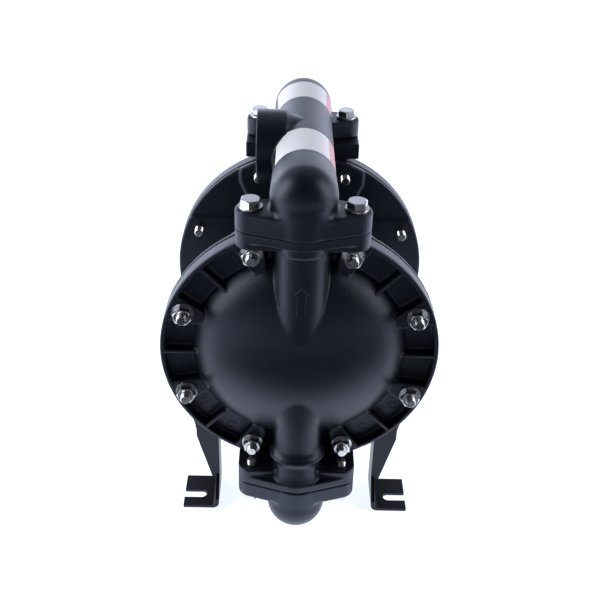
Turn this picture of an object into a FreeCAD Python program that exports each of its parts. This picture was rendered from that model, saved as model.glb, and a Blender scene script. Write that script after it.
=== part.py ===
import FreeCAD, Part
import math
import os
from FreeCAD import Placement, Rotation, Vector

import Sketcher

# Air-operated double diaphragm pump with 1 inch ports, in millimetres.
# X points right, Y to the rear and Z up. The origin is on the floor, at the bottom centre.
# The pump's axis lies along Y. Each end piece is drawn in a frame of its own, where Z points
# away from the pump's mid-plane and Y points up, and its placement turns it to its end.

# Driving sizes: name, value, meaning
SIZES = (
    ("floor_gap", 2.7, "gap between the lower manifold and the floor"),
    ("fit_gap", 0.05, "radial clearance of a sliding fit"),
    ("seat_gap", 0.1, "radial clearance of a piece that seats in a bore"),
    ("hole_gap", 0.5, "radial clearance of a bolt in its hole"),
    ("rest_gap", 0.3, "gap left between pieces that meet at the end of a stroke"),
    # fluid caps
    ("cap_radius", 109.0, "outer radius of the fluid caps and air caps"),
    ("rim_wall", 3.5, "thickness of a fluid cap's outer rim"),
    ("rim_depth", 13.5, "height of the rim over the clamped joint"),
    ("cap_floor", 5.0, "thickness of the cap's floor between its ribs"),
    ("rim_band", 24.0, "width of the ribbed band between the dome's foot and the cap's edge"),
    ("dome_rise", 30.5, "height of the dome over the rim"),
    ("dome_wall", 5.0, "thickness of the dome"),
    ("dome_side", 13.0, "thickness of the dome's wall at its foot"),
    ("dome_slope", 4.5, "width of the steep slope round the dome"),
    ("dome_edge_rise", 2.5, "height of that slope's upper edge over the rim"),
    ("dome_edge_round", 3.0, "rounding of that edge"),
    ("dome_foot_round", 1.5, "rounding at the dome's foot"),
    ("rib_count", 8, "radial ribs of a fluid cap"),
    ("rib_thickness", 2.5, "thickness of a radial rib"),
    ("land_width", 24.0, "width of the raised land under a stud's nut, at the rim"),
    ("land_neck", 9.0, "width of that land at the dome"),
    ("cap_edge_round", 1.2, "rounding of the rim's outer edge"),
    # studs of the caps
    ("stud_count", 8, "studs of each pair of caps"),
    ("stud_inset", 12.2, "distance of a stud inside the caps' edge"),
    ("stud_radius", 4.0, "radius of an M8 stud or bolt"),
    ("stud_tail", 7.0, "length of stud that shows behind the air cap"),
    ("stud_tip", 5.2, "length of thread that shows over the nut"),
    ("tip_chamfer", 0.8, "chamfer at a stud's or bolt's end"),
    ("nut_flats", 13.0, "width across the flats of an M8 nut or head"),
    ("nut_height", 6.5, "height of an M8 nut"),
    ("thin_nut_height", 3.9, "height of a thin M8 nut"),
    ("washer_radius", 8.5, "outer radius of an M8 washer"),
    ("washer_bore", 4.3, "hole radius of an M8 washer"),
    ("washer_thickness", 1.6, "thickness of an M8 washer"),
    # flow channels and flanges of the fluid caps
    ("port_reach", 10.5, "distance of the channels' axis outside the rim's face"),
    ("channel_radius", 17.0, "outer radius of the inlet channel"),
    ("outlet_channel_radius", 19.5, "outer radius of the outlet channel"),
    ("channel_root", 21.5, "half width of both channels at the joint"),
    ("collar_radius", 18.2, "radius of the outlet channel under its flange"),
    ("collar_drop", 15.7, "distance of the collar's lower edge from the outlet joint"),
    ("shoulder_radius", 22.9, "radius of the ring over the inlet ball chamber"),
    ("shoulder_rise", 26.5, "height of the ring over the inlet joint"),
    ("shoulder_width", 1.6, "length of the ring's cylindrical part"),
    ("shoulder_taper", 7.0, "length of the cones on both sides of the ring"),
    ("chamber_outer", 19.5, "outer radius of the ball chamber below the ring"),
    ("flange_rise", 7.7, "height of the flange joints over the caps' edge"),
    ("flange_waist", 22.7, "half width of a flange at its middle"),
    ("flange_end_radius", 11.2, "radius of a flange's ends"),
    ("flange_bolt_reach", 37.0, "distance of a flange bolt from the channel's axis"),
    ("flange_plate", 7.5, "thickness of the cap's flange plate"),
    ("flange_block", 13.2, "thickness of the cap's flange at its ends"),
    ("flow_radius", 12.7, "radius of the flow passages, 1 inch nominal"),
    ("passage_end", 31.0, "distance of a flow passage's inner end from the pump's axis"),
    # manifolds
    ("manifold_flange", 15.5, "thickness of a manifold's flange"),
    ("tube_rise", 24.3, "distance of a manifold's tube outside the flange joint"),
    ("tube_radius", 23.0, "outer radius of a manifold's tube"),
    ("elbow_radius", 24.0, "radius of a manifold's ball-shaped elbow"),
    ("neck_radius", 23.4, "radius of the neck between elbow and flange"),
    ("boss_radius", 28.3, "outer radius of the port's boss"),
    ("boss_reach", 36.0, "distance of the port's face from the mid-plane"),
    ("boss_blend", 14.0, "length of the boss's hollow blend into the tube"),
    ("port_radius", 15.15, "thread radius of the 1 inch port"),
    ("port_depth", 22.0, "depth of the port's thread"),
    ("flange_round", 2.0, "rounding of a manifold flange's upper edge"),
    ("joint_round", 0.8, "rounding of a manifold flange's edge at the joint"),
    ("bolt_tip", 4.0, "length of bolt that shows past the cap's flange"),
    ("head_height", 5.3, "height of an M8 bolt's head"),
    # check valves
    ("ball_radius", 11.5, "radius of a valve ball"),
    ("chamber_gap", 1.8, "radial clearance round a valve ball"),
    ("ball_lift", 6.0, "lift of a valve ball"),
    ("valve_seat_bore", 9.5, "bore radius of a valve seat"),
    ("valve_seat_radius", 16.0, "outer radius of a valve seat"),
    ("valve_seat_height", 6.0, "height of a valve seat"),
    ("stop_width", 5.0, "width of the rib or pin that stops a ball"),
    ("oring_radius", 19.0, "mean radius of a flange's O-ring"),
    ("oring_section", 1.2, "section radius of a flange's O-ring"),
    # air caps
    ("air_face", 57.0, "distance of an air cap's inner face from the mid-plane"),
    ("air_flange", 6.5, "thickness of an air cap's flange"),
    ("air_bowl_depth", 3.0, "depth of the bowl in an air cap"),
    ("pocket_depth", 2.6, "depth of the corner recesses in an air cap"),
    ("pocket_side", 52.6, "distance of a corner recess from the vertical mid-plane, beside a stud"),
    ("pocket_neck", 44.5, "distance of the recess from that plane below the stud"),
    ("pocket_bend_high", 84.0, "height over the pump's axis where the recess starts to widen"),
    ("pocket_bend_low", 66.0, "height over the pump's axis where the recess is at its widest"),
    ("pocket_low", 49.0, "distance of a corner recess from the axis's level"),
    ("pocket_round", 10.0, "rounding of the recess's lower corners"),
    ("hub_radius", 46.0, "outer radius of an air cap's hub"),
    ("hub_wall", 4.0, "thickness of the hub's wall and floor"),
    # diaphragms, plates and rod
    ("diaphragm_edge", 1.5, "thickness of a diaphragm's clamped edge"),
    ("diaphragm_edge_gap", 1.0, "distance of a diaphragm's edge inside the caps' rim"),
    ("diaphragm_thickness", 2.5, "thickness of a diaphragm at its centre"),
    ("half_stroke", 10.0, "travel of the rod to each side of its middle"),
    ("plate_radius", 40.0, "radius of the diaphragm plates"),
    ("inner_plate", 6.0, "thickness of an inner diaphragm plate"),
    ("outer_plate", 5.0, "thickness of an outer diaphragm plate"),
    ("plate_round", 2.0, "rounding of the outer plate's edge"),
    ("rod_radius", 8.0, "radius of the diaphragm rod"),
    ("rod_half", 66.0, "half length of the diaphragm rod"),
    ("rod_screw_radius", 5.0, "radius of an M10 plate screw"),
    ("rod_screw_depth", 14.0, "depth that a plate screw enters the rod"),
    ("rod_screw_flats", 17.0, "width across the flats of a plate screw's head"),
    ("rod_screw_head", 6.4, "height of a plate screw's head"),
    # centre body
    ("center_half", 47.0, "half length of the centre body between the air caps"),
    ("center_side", 40.0, "half width of the centre body"),
    ("center_top", 40.0, "height of the centre body over the pump's axis"),
    ("center_bottom", 45.0, "depth of the centre body below the pump's axis"),
    ("center_flange", 8.0, "thickness of the centre body's round flanges"),
    ("gasket_thickness", 1.0, "thickness of the gaskets"),
    ("bushing_wall", 2.0, "wall of a rod bushing"),
    ("bushing_length", 14.0, "length of a rod bushing"),
    ("rod_seal_wall", 3.5, "wall of a rod seal"),
    ("rod_seal_width", 4.0, "width of a rod seal"),
    ("hub_screw_circle", 34.0, "radius of the circle of hub screws"),
    ("hub_screw_radius", 3.0, "radius of an M6 screw"),
    ("hub_screw_head", 5.6, "head radius of a countersunk M6 screw"),
    ("hub_screw_depth", 13.0, "depth that a hub screw enters the centre body"),
    ("hub_screw_count", 4, "screws of each air cap's hub"),
    # pilot rod
    ("pilot_height", 22.0, "height of the pilot rod over the pump's axis"),
    ("pilot_radius", 3.0, "radius of the pilot rod"),
    ("pilot_half_travel", 3.0, "travel of the pilot rod to each side"),
    ("pilot_seal_wall", 2.0, "wall of a pilot rod seal"),
    ("pilot_seal_width", 3.0, "width of a pilot rod seal"),
    # air valve
    ("valve_width", 28.0, "width of the air valve's body"),
    ("valve_half_length", 32.0, "half length of the air valve's body"),
    ("valve_half_height", 27.0, "half height of the air valve's body"),
    ("sleeve_radius", 12.0, "outer radius of the valve's sleeve"),
    ("spool_radius", 8.0, "radius of the valve's spool"),
    ("spool_neck", 5.0, "radius of the spool between its lands"),
    ("spool_land", 8.0, "length of each land of the spool"),
    ("spool_half_travel", 5.0, "travel of the spool to each side"),
    ("valve_cap_thickness", 6.0, "thickness of the valve's end caps"),
    ("valve_cap_screw_reach", 19.0, "distance of an end cap's screw from the spool's axis"),
    ("valve_screw_radius", 2.5, "radius of an M5 screw"),
    ("valve_screw_head", 4.2, "head radius of an M5 screw"),
    ("valve_screw_head_height", 5.0, "head height of an M5 screw"),
    ("valve_screw_depth", 10.0, "depth that an M5 screw is threaded in"),
    ("valve_bolt_reach_y", 15.0, "distance of a valve bolt from the mid-plane"),
    ("valve_bolt_reach_z", 20.0, "distance of a valve bolt from the spool's level"),
    ("air_inlet_radius", 6.6, "thread radius of the air inlet"),
    ("air_inlet_wall", 5.4, "wall of the air inlet's boss"),
    ("air_inlet_reach", 13.0, "length of the air inlet's boss"),
    ("air_inlet_depth", 11.0, "depth of the air inlet's thread"),
    # muffler
    ("exhaust_drop", 24.0, "depth of the exhaust port below the pump's axis"),
    ("exhaust_radius", 9.0, "thread radius of the exhaust port"),
    ("exhaust_depth", 14.0, "depth of the exhaust port's thread"),
    ("muffler_radius", 15.0, "radius of the muffler"),
    ("muffler_length", 42.0, "length of the muffler outside the body"),
    ("muffler_slot_count", 6, "vent slots round the muffler"),
    ("muffler_slot_width", 3.0, "width of a muffler's vent slot"),
    ("muffler_slot_length", 24.0, "length of a muffler's vent slot"),
    ("muffler_wall", 2.5, "wall of the muffler"),
    # legs
    ("leg_sheet", 3.0, "thickness of a leg's sheet"),
    ("leg_bend", 3.0, "inner radius of a leg's bends"),
    ("leg_web_inset", 22.4, "distance of a leg's web inside its outer stud"),
    ("foot_length", 31.5, "length of a foot from the web's inner face"),
    ("foot_back", 35.3, "distance of a foot's rear edge from the mid-plane"),
    ("foot_front", 73.0, "distance of a foot's front edge from the mid-plane"),
    ("foot_slot", 58.2, "distance of a foot's slot from the mid-plane"),
    ("foot_slot_width", 9.4, "width of a foot's slot"),
    ("foot_slot_depth", 19.5, "depth of a foot's slot"),
    ("leg_top", 60.0, "distance of a leg's upper web end below the pump's axis"),
    ("leg_shoulder_width", 19.0, "width of a leg at its shoulder"),
    ("leg_shoulder_high", 3.6, "distance of a leg's shoulder below its inner stud"),
    ("leg_shoulder_low", 13.6, "distance below that stud where the edge starts to slant"),
    ("leg_ankle_width", 6.5, "width of a leg at its ankle"),
    ("leg_ankle_rise", 22.0, "height of a leg's ankle over the floor"),
    ("leg_inner_drop", 10.6, "distance below that stud where the inner edge turns to it"),
    ("leg_toe_rise", 26.0, "height over the floor where a web's front edge starts to slant"),
    ("leg_ear_radius", 11.0, "radius of a leg's ears round the studs"),
)


class Size:
    """A number taken from the sheet, with the expression that keeps a property bound to it."""

    def __init__(self, number, text):
        self.number = float(number)
        self.text = text

    def __add__(self, other):
        other = as_size(other)
        return Size(self.number + other.number, f"({self.text} + {other.text})")

    def __sub__(self, other):
        other = as_size(other)
        return Size(self.number - other.number, f"({self.text} - {other.text})")

    def __mul__(self, other):
        other = as_size(other)
        return Size(self.number * other.number, f"({self.text} * {other.text})")

    def __truediv__(self, other):
        other = as_size(other)
        return Size(self.number / other.number, f"({self.text} / {other.text})")

    def __neg__(self):
        return Size(-self.number, f"(-1 * {self.text})")

    def __radd__(self, other):
        return as_size(other) + self

    def __rsub__(self, other):
        return as_size(other) - self

    def __rmul__(self, other):
        return as_size(other) * self

    def __rtruediv__(self, other):
        return as_size(other) / self


def as_size(value):
    """A plain number as a Size, so that both can stand in one formula."""
    if isinstance(value, Size):
        return value
    return Size(value, repr(float(value)))


def root(value):
    """The square root of a Size."""
    return Size(math.sqrt(value.number), f"sqrt({value.text})")


def cosine(angle):
    """The cosine of an angle in degrees."""
    return Size(math.cos(math.radians(angle.number)), f"cos({angle.text} * 1 deg)")


def sine(angle):
    """The sine of an angle in degrees."""
    return Size(math.sin(math.radians(angle.number)), f"sin({angle.text} * 1 deg)")


doc = FreeCAD.newDocument("diaphragm_pump")
sheet = doc.addObject("Spreadsheet::Sheet", "Sizes")
nodes = []


class Sizes:
    """The sheet's sizes by name."""


for row, (alias, value, meaning) in enumerate(SIZES, start=1):
    sheet.set(f"A{row}", meaning)
    sheet.set(f"B{row}", str(value))
    sheet.setAlias(f"B{row}", alias)
    setattr(Sizes, alias, Size(value, f"Sizes.{alias}"))
doc.recompute()
S = Sizes

# Places that several pieces share, measured outwards from the mid-plane
clamp_inner = S.air_face + S.air_flange
joint_plane = clamp_inner + S.diaphragm_edge
rim_face = joint_plane + S.rim_depth
port_offset = rim_face + S.port_reach
hub_face = S.center_half + S.gasket_thickness
hub_floor_face = hub_face + S.hub_wall

# Distances that several pieces share, measured from the pump's axis
stud_circle = S.cap_radius - S.stud_inset
stud_angle = 180 / S.stud_count
dome_foot_radius = S.cap_radius - S.rim_band
dome_edge_radius = dome_foot_radius - S.dome_slope
air_bowl_radius = dome_foot_radius - S.dome_side
split_height = S.cap_radius + S.flange_rise
shoulder_height = split_height - S.shoulder_rise
tube_height = split_height + S.tube_rise
axis_height = tube_height + S.boss_radius + S.floor_gap
chamber_radius = S.ball_radius + S.chamber_gap

# A ball rests on the upper edge of its seat
ball_seat_rise = root(S.ball_radius * S.ball_radius - S.valve_seat_bore * S.valve_seat_bore) + S.fit_gap
ball_top_rise = ball_seat_rise + S.ball_radius + S.ball_lift + S.rest_gap

# Stack of the diaphragm at mid-stroke
inner_plate_face = S.rod_half + S.inner_plate
outer_plate_base = inner_plate_face + S.diaphragm_thickness
outer_plate_face = outer_plate_base + S.outer_plate


def bind(item, **properties):
    """Bind properties of an object to sizes of the sheet."""
    for name, size in properties.items():
        item.setExpression(name.replace("__", "."), as_size(size).text)


def new_body(label, placement=None, height=axis_height):
    """A sub-part: a body placed at the height of the pump's axis, or at another."""
    body = doc.addObject("PartDesign::Body", label)
    body.Label = label
    body.AllowCompound = True
    place = placement or Placement()
    body.Placement = Placement(Vector(0, 0, height.number), place.Rotation)
    bind(body, Placement__Base__z=height)
    nodes.append(body)
    return body


def origin_part(body, role):
    """One of a body's own origin planes or axes."""
    return next(part for part in body.Origin.OriginFeatures if part.Role == role)


def new_sketch(body, role, lift=0.0, turn=0.0):
    """A sketch on an origin plane, lifted along the plane's normal and turned about it."""
    sketch = body.newObject("Sketcher::SketchObject", "Sketch")
    sketch.AttachmentSupport = (origin_part(body, role), "")
    sketch.MapMode = "FlatFace"
    lift = as_size(lift)
    turn = as_size(turn)
    sketch.AttachmentOffset = Placement(Vector(0, 0, lift.number), Rotation(Vector(0, 0, 1), turn.number))
    bind(sketch, AttachmentOffset__Base__z=lift)
    if turn.number:
        bind(sketch, AttachmentOffset__Rotation__Angle=turn)
    return sketch


def hold(sketch, kind, *where, size):
    """A dimension of a sketch, bound to a size."""
    size = as_size(size)
    index = sketch.addConstraint(Sketcher.Constraint(kind, *where, size.number))
    sketch.setExpression(f"Constraints[{index}]", size.text)


def draw_circle(sketch, x, y, radius):
    """A circle round a point."""
    x, y, radius = as_size(x), as_size(y), as_size(radius)
    item = sketch.addGeometry(Part.Circle(Vector(x.number, y.number, 0), Vector(0, 0, 1), radius.number))
    hold(sketch, "DistanceX", -1, 1, item, 3, size=x)
    hold(sketch, "DistanceY", -1, 1, item, 3, size=y)
    hold(sketch, "Radius", item, size=radius)


# Half circles of an outline, by the way that they turn
LEFT_HALF = 1
RIGHT_HALF = -1


def arc_between(begin, end, radius):
    """The arc from one point to another, with its centre on the left if the radius is positive."""
    middle = (begin + end) / 2
    half = end - middle
    reach = math.sqrt(max(radius ** 2 - half.Length ** 2, 0.0))
    left = Vector(-half.y, half.x, 0).normalize()
    centre = middle + left * reach * (1 if radius > 0 else -1)
    first, last = (begin, end) if radius > 0 else (end, begin)
    angles = [math.atan2(point.y - centre.y, point.x - centre.x) for point in (first, last)]
    if angles[1] <= angles[0]:
        angles[1] += 2 * math.pi
    return Part.ArcOfCircle(Part.Circle(centre, Vector(0, 0, 1), abs(radius)), *angles)


def draw(sketch, corners, hand=1):
    """A closed outline. A corner is (x, y), or (x, y, arc) where an arc leads to the next one.

    An arc is its radius, negative if it turns right, or LEFT_HALF or RIGHT_HALF for half a circle.
    """
    points = [(as_size(corner[0]) * hand, as_size(corner[1])) for corner in corners]
    arcs = [corner[2] * hand if len(corner) > 2 else None for corner in corners]
    places = [Vector(x.number, y.number, 0) for x, y in points]
    ends = []
    items = []
    for index, arc in enumerate(arcs):
        begin, end = places[index], places[(index + 1) % len(places)]
        if arc is None:
            shape = Part.LineSegment(begin, end)
            turns_right = False
        else:
            radius = arc.number if isinstance(arc, Size) else arc * (end - begin).Length / 2
            shape = arc_between(begin, end, radius)
            turns_right = radius < 0
        items.append(sketch.addGeometry(shape))
        ends.append((2, 1) if turns_right else (1, 2))
    for index, item in enumerate(items):
        following = (index + 1) % len(items)
        sketch.addConstraint(Sketcher.Constraint(
            "Coincident", item, ends[index][1], items[following], ends[following][0]))
    for index, item in enumerate(items):
        x, y = points[index]
        hold(sketch, "DistanceX", -1, 1, item, ends[index][0], size=x)
        hold(sketch, "DistanceY", -1, 1, item, ends[index][0], size=y)
        arc = arcs[index]
        next_x, next_y = points[(index + 1) % len(points)]
        if isinstance(arc, Size):
            hold(sketch, "Radius", item, size=arc if arc.number > 0 else -arc)
        elif arc and abs(next_x.number - x.number) < abs(next_y.number - y.number):
            hold(sketch, "DistanceX", -1, 1, item, 3, size=(x + next_x) / 2)
        elif arc:
            hold(sketch, "DistanceY", -1, 1, item, 3, size=(y + next_y) / 2)


def draw_hexagon(sketch, x, y, flats):
    """A hexagon round a point, by its width across flats."""
    corner = flats / 2 / cosine(as_size(30))
    angles = [as_size(60 * side) for side in range(6)]
    draw(sketch, [(x + corner * cosine(angle), y + corner * sine(angle)) for angle in angles])


def draw_axis(sketch, x, y, along_x):
    """A construction line through a point, for a revolution about it."""
    x, y = as_size(x), as_size(y)
    reach = Vector(1, 0, 0) if along_x else Vector(0, 1, 0)
    begin = Vector(x.number, y.number, 0)
    item = sketch.addGeometry(Part.LineSegment(begin, begin + reach), True)
    sketch.addConstraint(Sketcher.Constraint("Horizontal" if along_x else "Vertical", item))
    hold(sketch, "DistanceX", -1, 1, item, 1, size=x)
    hold(sketch, "DistanceY", -1, 1, item, 1, size=y)
    hold(sketch, "Distance", item, size=1.0)


def finish(body, feature):
    """Make a feature the tip of its body. Only the last one merges split faces."""
    for earlier in body.Group:
        if earlier is not feature and hasattr(earlier, "Refine"):
            earlier.Refine = False
    body.Tip = feature
    return feature


def pad(body, sketch, length, backward=False, symmetric=False, cut=False):
    """Pad a sketch, or pocket it."""
    feature = body.newObject("PartDesign::Pocket" if cut else "PartDesign::Pad", "Pocket" if cut else "Pad")
    feature.Profile = sketch
    feature.SideType = "Symmetric" if symmetric else "One side"
    feature.Reversed = backward
    bind(feature, Length=length)
    return finish(body, feature)


def pocket(body, sketch, length, backward=False, symmetric=False):
    """Pocket a sketch against its plane's normal, or along the normal if backward."""
    return pad(body, sketch, length, backward, symmetric, cut=True)


def revolve(body, sketch, axis="V_Axis", cut=False):
    """Turn a sketch about one of its axes."""
    name = "Groove" if cut else "Revolution"
    feature = body.newObject(f"PartDesign::{name}", name)
    feature.Profile = sketch
    feature.ReferenceAxis = (sketch, [axis])
    feature.Angle = 360
    return finish(body, feature)


def polar(body, features, count, role="Z_Axis"):
    """Copy features round an axis of the body."""
    pattern = body.newObject("PartDesign::PolarPattern", "PolarPattern")
    pattern.Originals = features
    pattern.Axis = (origin_part(body, role), [""])
    pattern.Angle = 360
    bind(pattern, Occurrences=count)
    return finish(body, pattern)


def mirror(body, features, role):
    """Copy features to the other side of an origin plane."""
    mirrored = body.newObject("PartDesign::Mirrored", "Mirrored")
    mirrored.Originals = features
    mirrored.MirrorPlane = (origin_part(body, role), [""])
    return finish(body, mirrored)


def round_edges(body, test, radius):
    """Round the edges of the body's tip that pass a test."""
    base = body.Tip
    doc.recompute()
    names = [f"Edge{i}" for i, edge in enumerate(base.Shape.Edges, start=1) if test(edge)]
    fillet = body.newObject("PartDesign::Fillet", "Fillet")
    fillet.Base = (base, names)
    bind(fillet, Radius=radius)
    return finish(body, fillet)


def round_circle(body, radius, height, rounding):
    """Round a circular edge of a turned body."""
    round_edges(body, lambda edge: edge.Closed and near(edge.BoundBox.XMax, radius)
                and near(edge.BoundBox.ZMin, height), rounding)


def near(value, size):
    """Whether a coordinate lies at a size."""
    return abs(value - as_size(size).number) < 0.01


def revolved_body(label, corners, placement=None):
    """A turned piece, from its half profile of (radius, height) corners."""
    body = new_body(label, placement)
    sketch = new_sketch(body, "XZ_Plane")
    draw(sketch, corners)
    revolve(body, sketch)
    return body


def ring_corners(inner, outer, low, high):
    """The half profile of a plain ring."""
    return [(inner, low), (outer, low), (outer, high), (inner, high)]


# The two ends of the pump: each turns the end's own frame to its place
FRONT = Placement(Vector(), Rotation(Vector(1, 0, 0), 90))
REAR = Placement(Vector(), Rotation(Vector(0, 0, 1), 180).multiply(FRONT.Rotation))
ENDS = (("front", FRONT), ("rear", REAR))


def turned(placement, angle):
    """A placement with a first turn about its own Z axis."""
    return Placement(Vector(), placement.Rotation.multiply(Rotation(Vector(0, 0, 1), angle.number)))


def flange_outline(sketch, y):
    """A two-bolt flange: round ends, and a round waist that straight sides touch."""
    slope = (S.flange_waist - S.flange_end_radius) / S.flange_bolt_reach
    flat = root(1 - slope * slope)
    waist_x = S.flange_waist * slope
    waist_y = S.flange_waist * flat
    end_x = S.flange_bolt_reach + S.flange_end_radius * slope
    end_y = S.flange_end_radius * flat
    draw(sketch, [
        (end_x, y - end_y, S.flange_end_radius),
        (end_x, y + end_y),
        (waist_x, y + waist_y, S.flange_waist),
        (-waist_x, y + waist_y),
        (-end_x, y + end_y, S.flange_end_radius),
        (-end_x, y - end_y),
        (-waist_x, y - waist_y, S.flange_waist),
        (waist_x, y - waist_y),
    ])


def flange_block_outline(sketch):
    """The thick back of a cap's flange: round outer corners, and straight ends to the cap's rim."""
    end_x = S.flange_bolt_reach + S.flange_end_radius
    outer = port_offset + S.flange_end_radius
    back = joint_plane + S.seat_gap
    draw(sketch, [
        (-end_x, back),
        (end_x, back),
        (end_x, port_offset, S.flange_end_radius),
        (S.flange_bolt_reach, outer),
        (-S.flange_bolt_reach, outer, S.flange_end_radius),
        (-end_x, port_offset),
    ])


def make_fluid_cap(label, placement):
    """A fluid cap: ribbed rim, dome, vertical flow channel and a flange at each end of it."""
    body = new_body(label, placement)
    floor = joint_plane + S.cap_floor
    rim_inner = S.cap_radius - S.rim_wall
    apex = rim_face + S.dome_rise
    dome_edge = rim_face + S.dome_edge_rise
    rise = apex - dome_edge
    dome_radius = (dome_edge_radius * dome_edge_radius + rise * rise) / (2 * rise)
    dome_centre = apex - dome_radius

    shell = new_sketch(body, "XZ_Plane")
    draw(shell, [
        (0, apex, -dome_radius),
        (dome_edge_radius, dome_edge),
        (dome_foot_radius, floor),
        (rim_inner, floor),
        (rim_inner, rim_face),
        (S.cap_radius, rim_face),
        (S.cap_radius, joint_plane),
        (0, joint_plane),
    ])
    revolve(body, shell)
    round_circle(body, S.cap_radius, rim_face, S.cap_edge_round)
    round_circle(body, dome_edge_radius, dome_edge, S.dome_edge_round)
    round_circle(body, dome_foot_radius, floor, S.dome_foot_round)

    # Ribs and the lands under the nuts, flush with the rim
    rib = new_sketch(body, "XY_Plane", joint_plane)
    inner = dome_edge_radius - S.dome_slope
    outer = S.cap_radius - S.rim_wall / 2
    draw(rib, [(inner, -S.rib_thickness / 2), (outer, -S.rib_thickness / 2),
               (outer, S.rib_thickness / 2), (inner, S.rib_thickness / 2)])
    ribs = pad(body, rib, S.rim_depth)
    polar(body, [ribs], S.rib_count)
    land = new_sketch(body, "XY_Plane", joint_plane, stud_angle)
    draw(land, [(inner, -S.land_neck / 2), (outer, -S.land_width / 2),
                (outer, S.land_width / 2), (inner, S.land_neck / 2)])
    lands = pad(body, land, S.rim_depth)
    polar(body, [lands], S.stud_count)

    # Vertical channels, half round outside, from each flange to the dome: their backs are level
    channel_back = port_offset + S.channel_radius
    for side, radius in ((1, S.outlet_channel_radius), (-1, S.channel_radius)):
        channel = new_sketch(body, "XZ_Plane", -side * split_height)
        draw(channel, [
            (S.channel_root, joint_plane),
            (radius, channel_back - radius, LEFT_HALF),
            (-radius, channel_back - radius),
            (-S.channel_root, joint_plane),
        ])
        pad(body, channel, split_height, backward=side < 0)

    # Collar under the outlet flange, shoulder ring and ball chamber over the inlet flange
    collar = new_sketch(body, "YZ_Plane")
    collar_end = split_height - S.collar_drop
    axis_z = port_offset
    draw_axis(collar, 0, axis_z, along_x=True)
    draw(collar, [
        (collar_end, axis_z),
        (split_height, axis_z),
        (split_height, axis_z + S.collar_radius),
        (collar_end, axis_z + S.collar_radius),
    ])
    revolve(body, collar, "Axis0")
    chamber = new_sketch(body, "YZ_Plane")
    ring_top = S.shoulder_width / 2 - shoulder_height
    ring_low = ring_top - S.shoulder_width
    draw_axis(chamber, 0, axis_z, along_x=True)
    draw(chamber, [
        (-split_height, axis_z),
        (-split_height, axis_z + S.channel_radius),
        (ring_low - S.shoulder_taper, axis_z + S.chamber_outer),
        (ring_low, axis_z + S.shoulder_radius),
        (ring_top, axis_z + S.shoulder_radius),
        (ring_top + S.shoulder_taper, axis_z + S.channel_radius),
        (ring_top + S.shoulder_taper, axis_z),
    ])
    revolve(body, chamber, "Axis0")

    # Flanges: a thin two-bolt plate at the joint and a thicker block behind it
    for side in (1, -1):
        plate = new_sketch(body, "XZ_Plane", -side * split_height)
        flange_outline(plate, port_offset)
        pad(body, plate, S.flange_plate, backward=side < 0)
        block = new_sketch(body, "XZ_Plane", -side * split_height)
        flange_block_outline(block)
        pad(body, block, S.flange_block, backward=side < 0)

    # Inside of the dome
    hollow_radius = dome_radius - S.dome_wall
    hollow_foot = dome_centre + root(hollow_radius * hollow_radius - air_bowl_radius * air_bowl_radius)
    hollow = new_sketch(body, "XZ_Plane")
    draw(hollow, [
        (0, clamp_inner),
        (air_bowl_radius, clamp_inner),
        (air_bowl_radius, hollow_foot, hollow_radius),
        (0, dome_centre + hollow_radius),
    ])
    revolve(body, hollow, cut=True)

    # Flow passages: up to the outlet, and over the inlet ball with the rib that stops it
    for side in (1, -1):
        passage = new_sketch(body, "XZ_Plane", -side * split_height)
        draw_circle(passage, 0, port_offset, S.flow_radius)
        pocket(body, passage, split_height - S.passage_end, backward=side > 0)
    ball_room = new_sketch(body, "XZ_Plane", split_height)
    draw_circle(ball_room, 0, port_offset, chamber_radius)
    pocket(body, ball_room, ball_top_rise)
    stop = new_sketch(body, "XZ_Plane", split_height - ball_top_rise)
    stop_z = port_offset - S.stop_width / 2
    draw(stop, [(-chamber_radius, stop_z), (chamber_radius, stop_z),
                (chamber_radius, stop_z + S.stop_width), (-chamber_radius, stop_z + S.stop_width)])
    pad(body, stop, S.stop_width, backward=True)
    seat_room = new_sketch(body, "XZ_Plane", -split_height)
    draw_circle(seat_room, 0, port_offset, S.valve_seat_radius + S.seat_gap)
    pocket(body, seat_room, S.valve_seat_height, backward=True)

    # Stud holes and tapped flange holes
    stud_hole = new_sketch(body, "XY_Plane", joint_plane, stud_angle)
    draw_circle(stud_hole, stud_circle, 0, S.stud_radius + S.hole_gap)
    holes = pocket(body, stud_hole, S.rim_depth, backward=True)
    polar(body, [holes], S.stud_count)
    for side in (1, -1):
        bolt_holes = new_sketch(body, "XZ_Plane", -side * split_height)
        for hand in (1, -1):
            draw_circle(bolt_holes, hand * S.flange_bolt_reach, port_offset, S.stud_radius + S.seat_gap)
        pocket(body, bolt_holes, S.flange_block, backward=side > 0)
    return body


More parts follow.
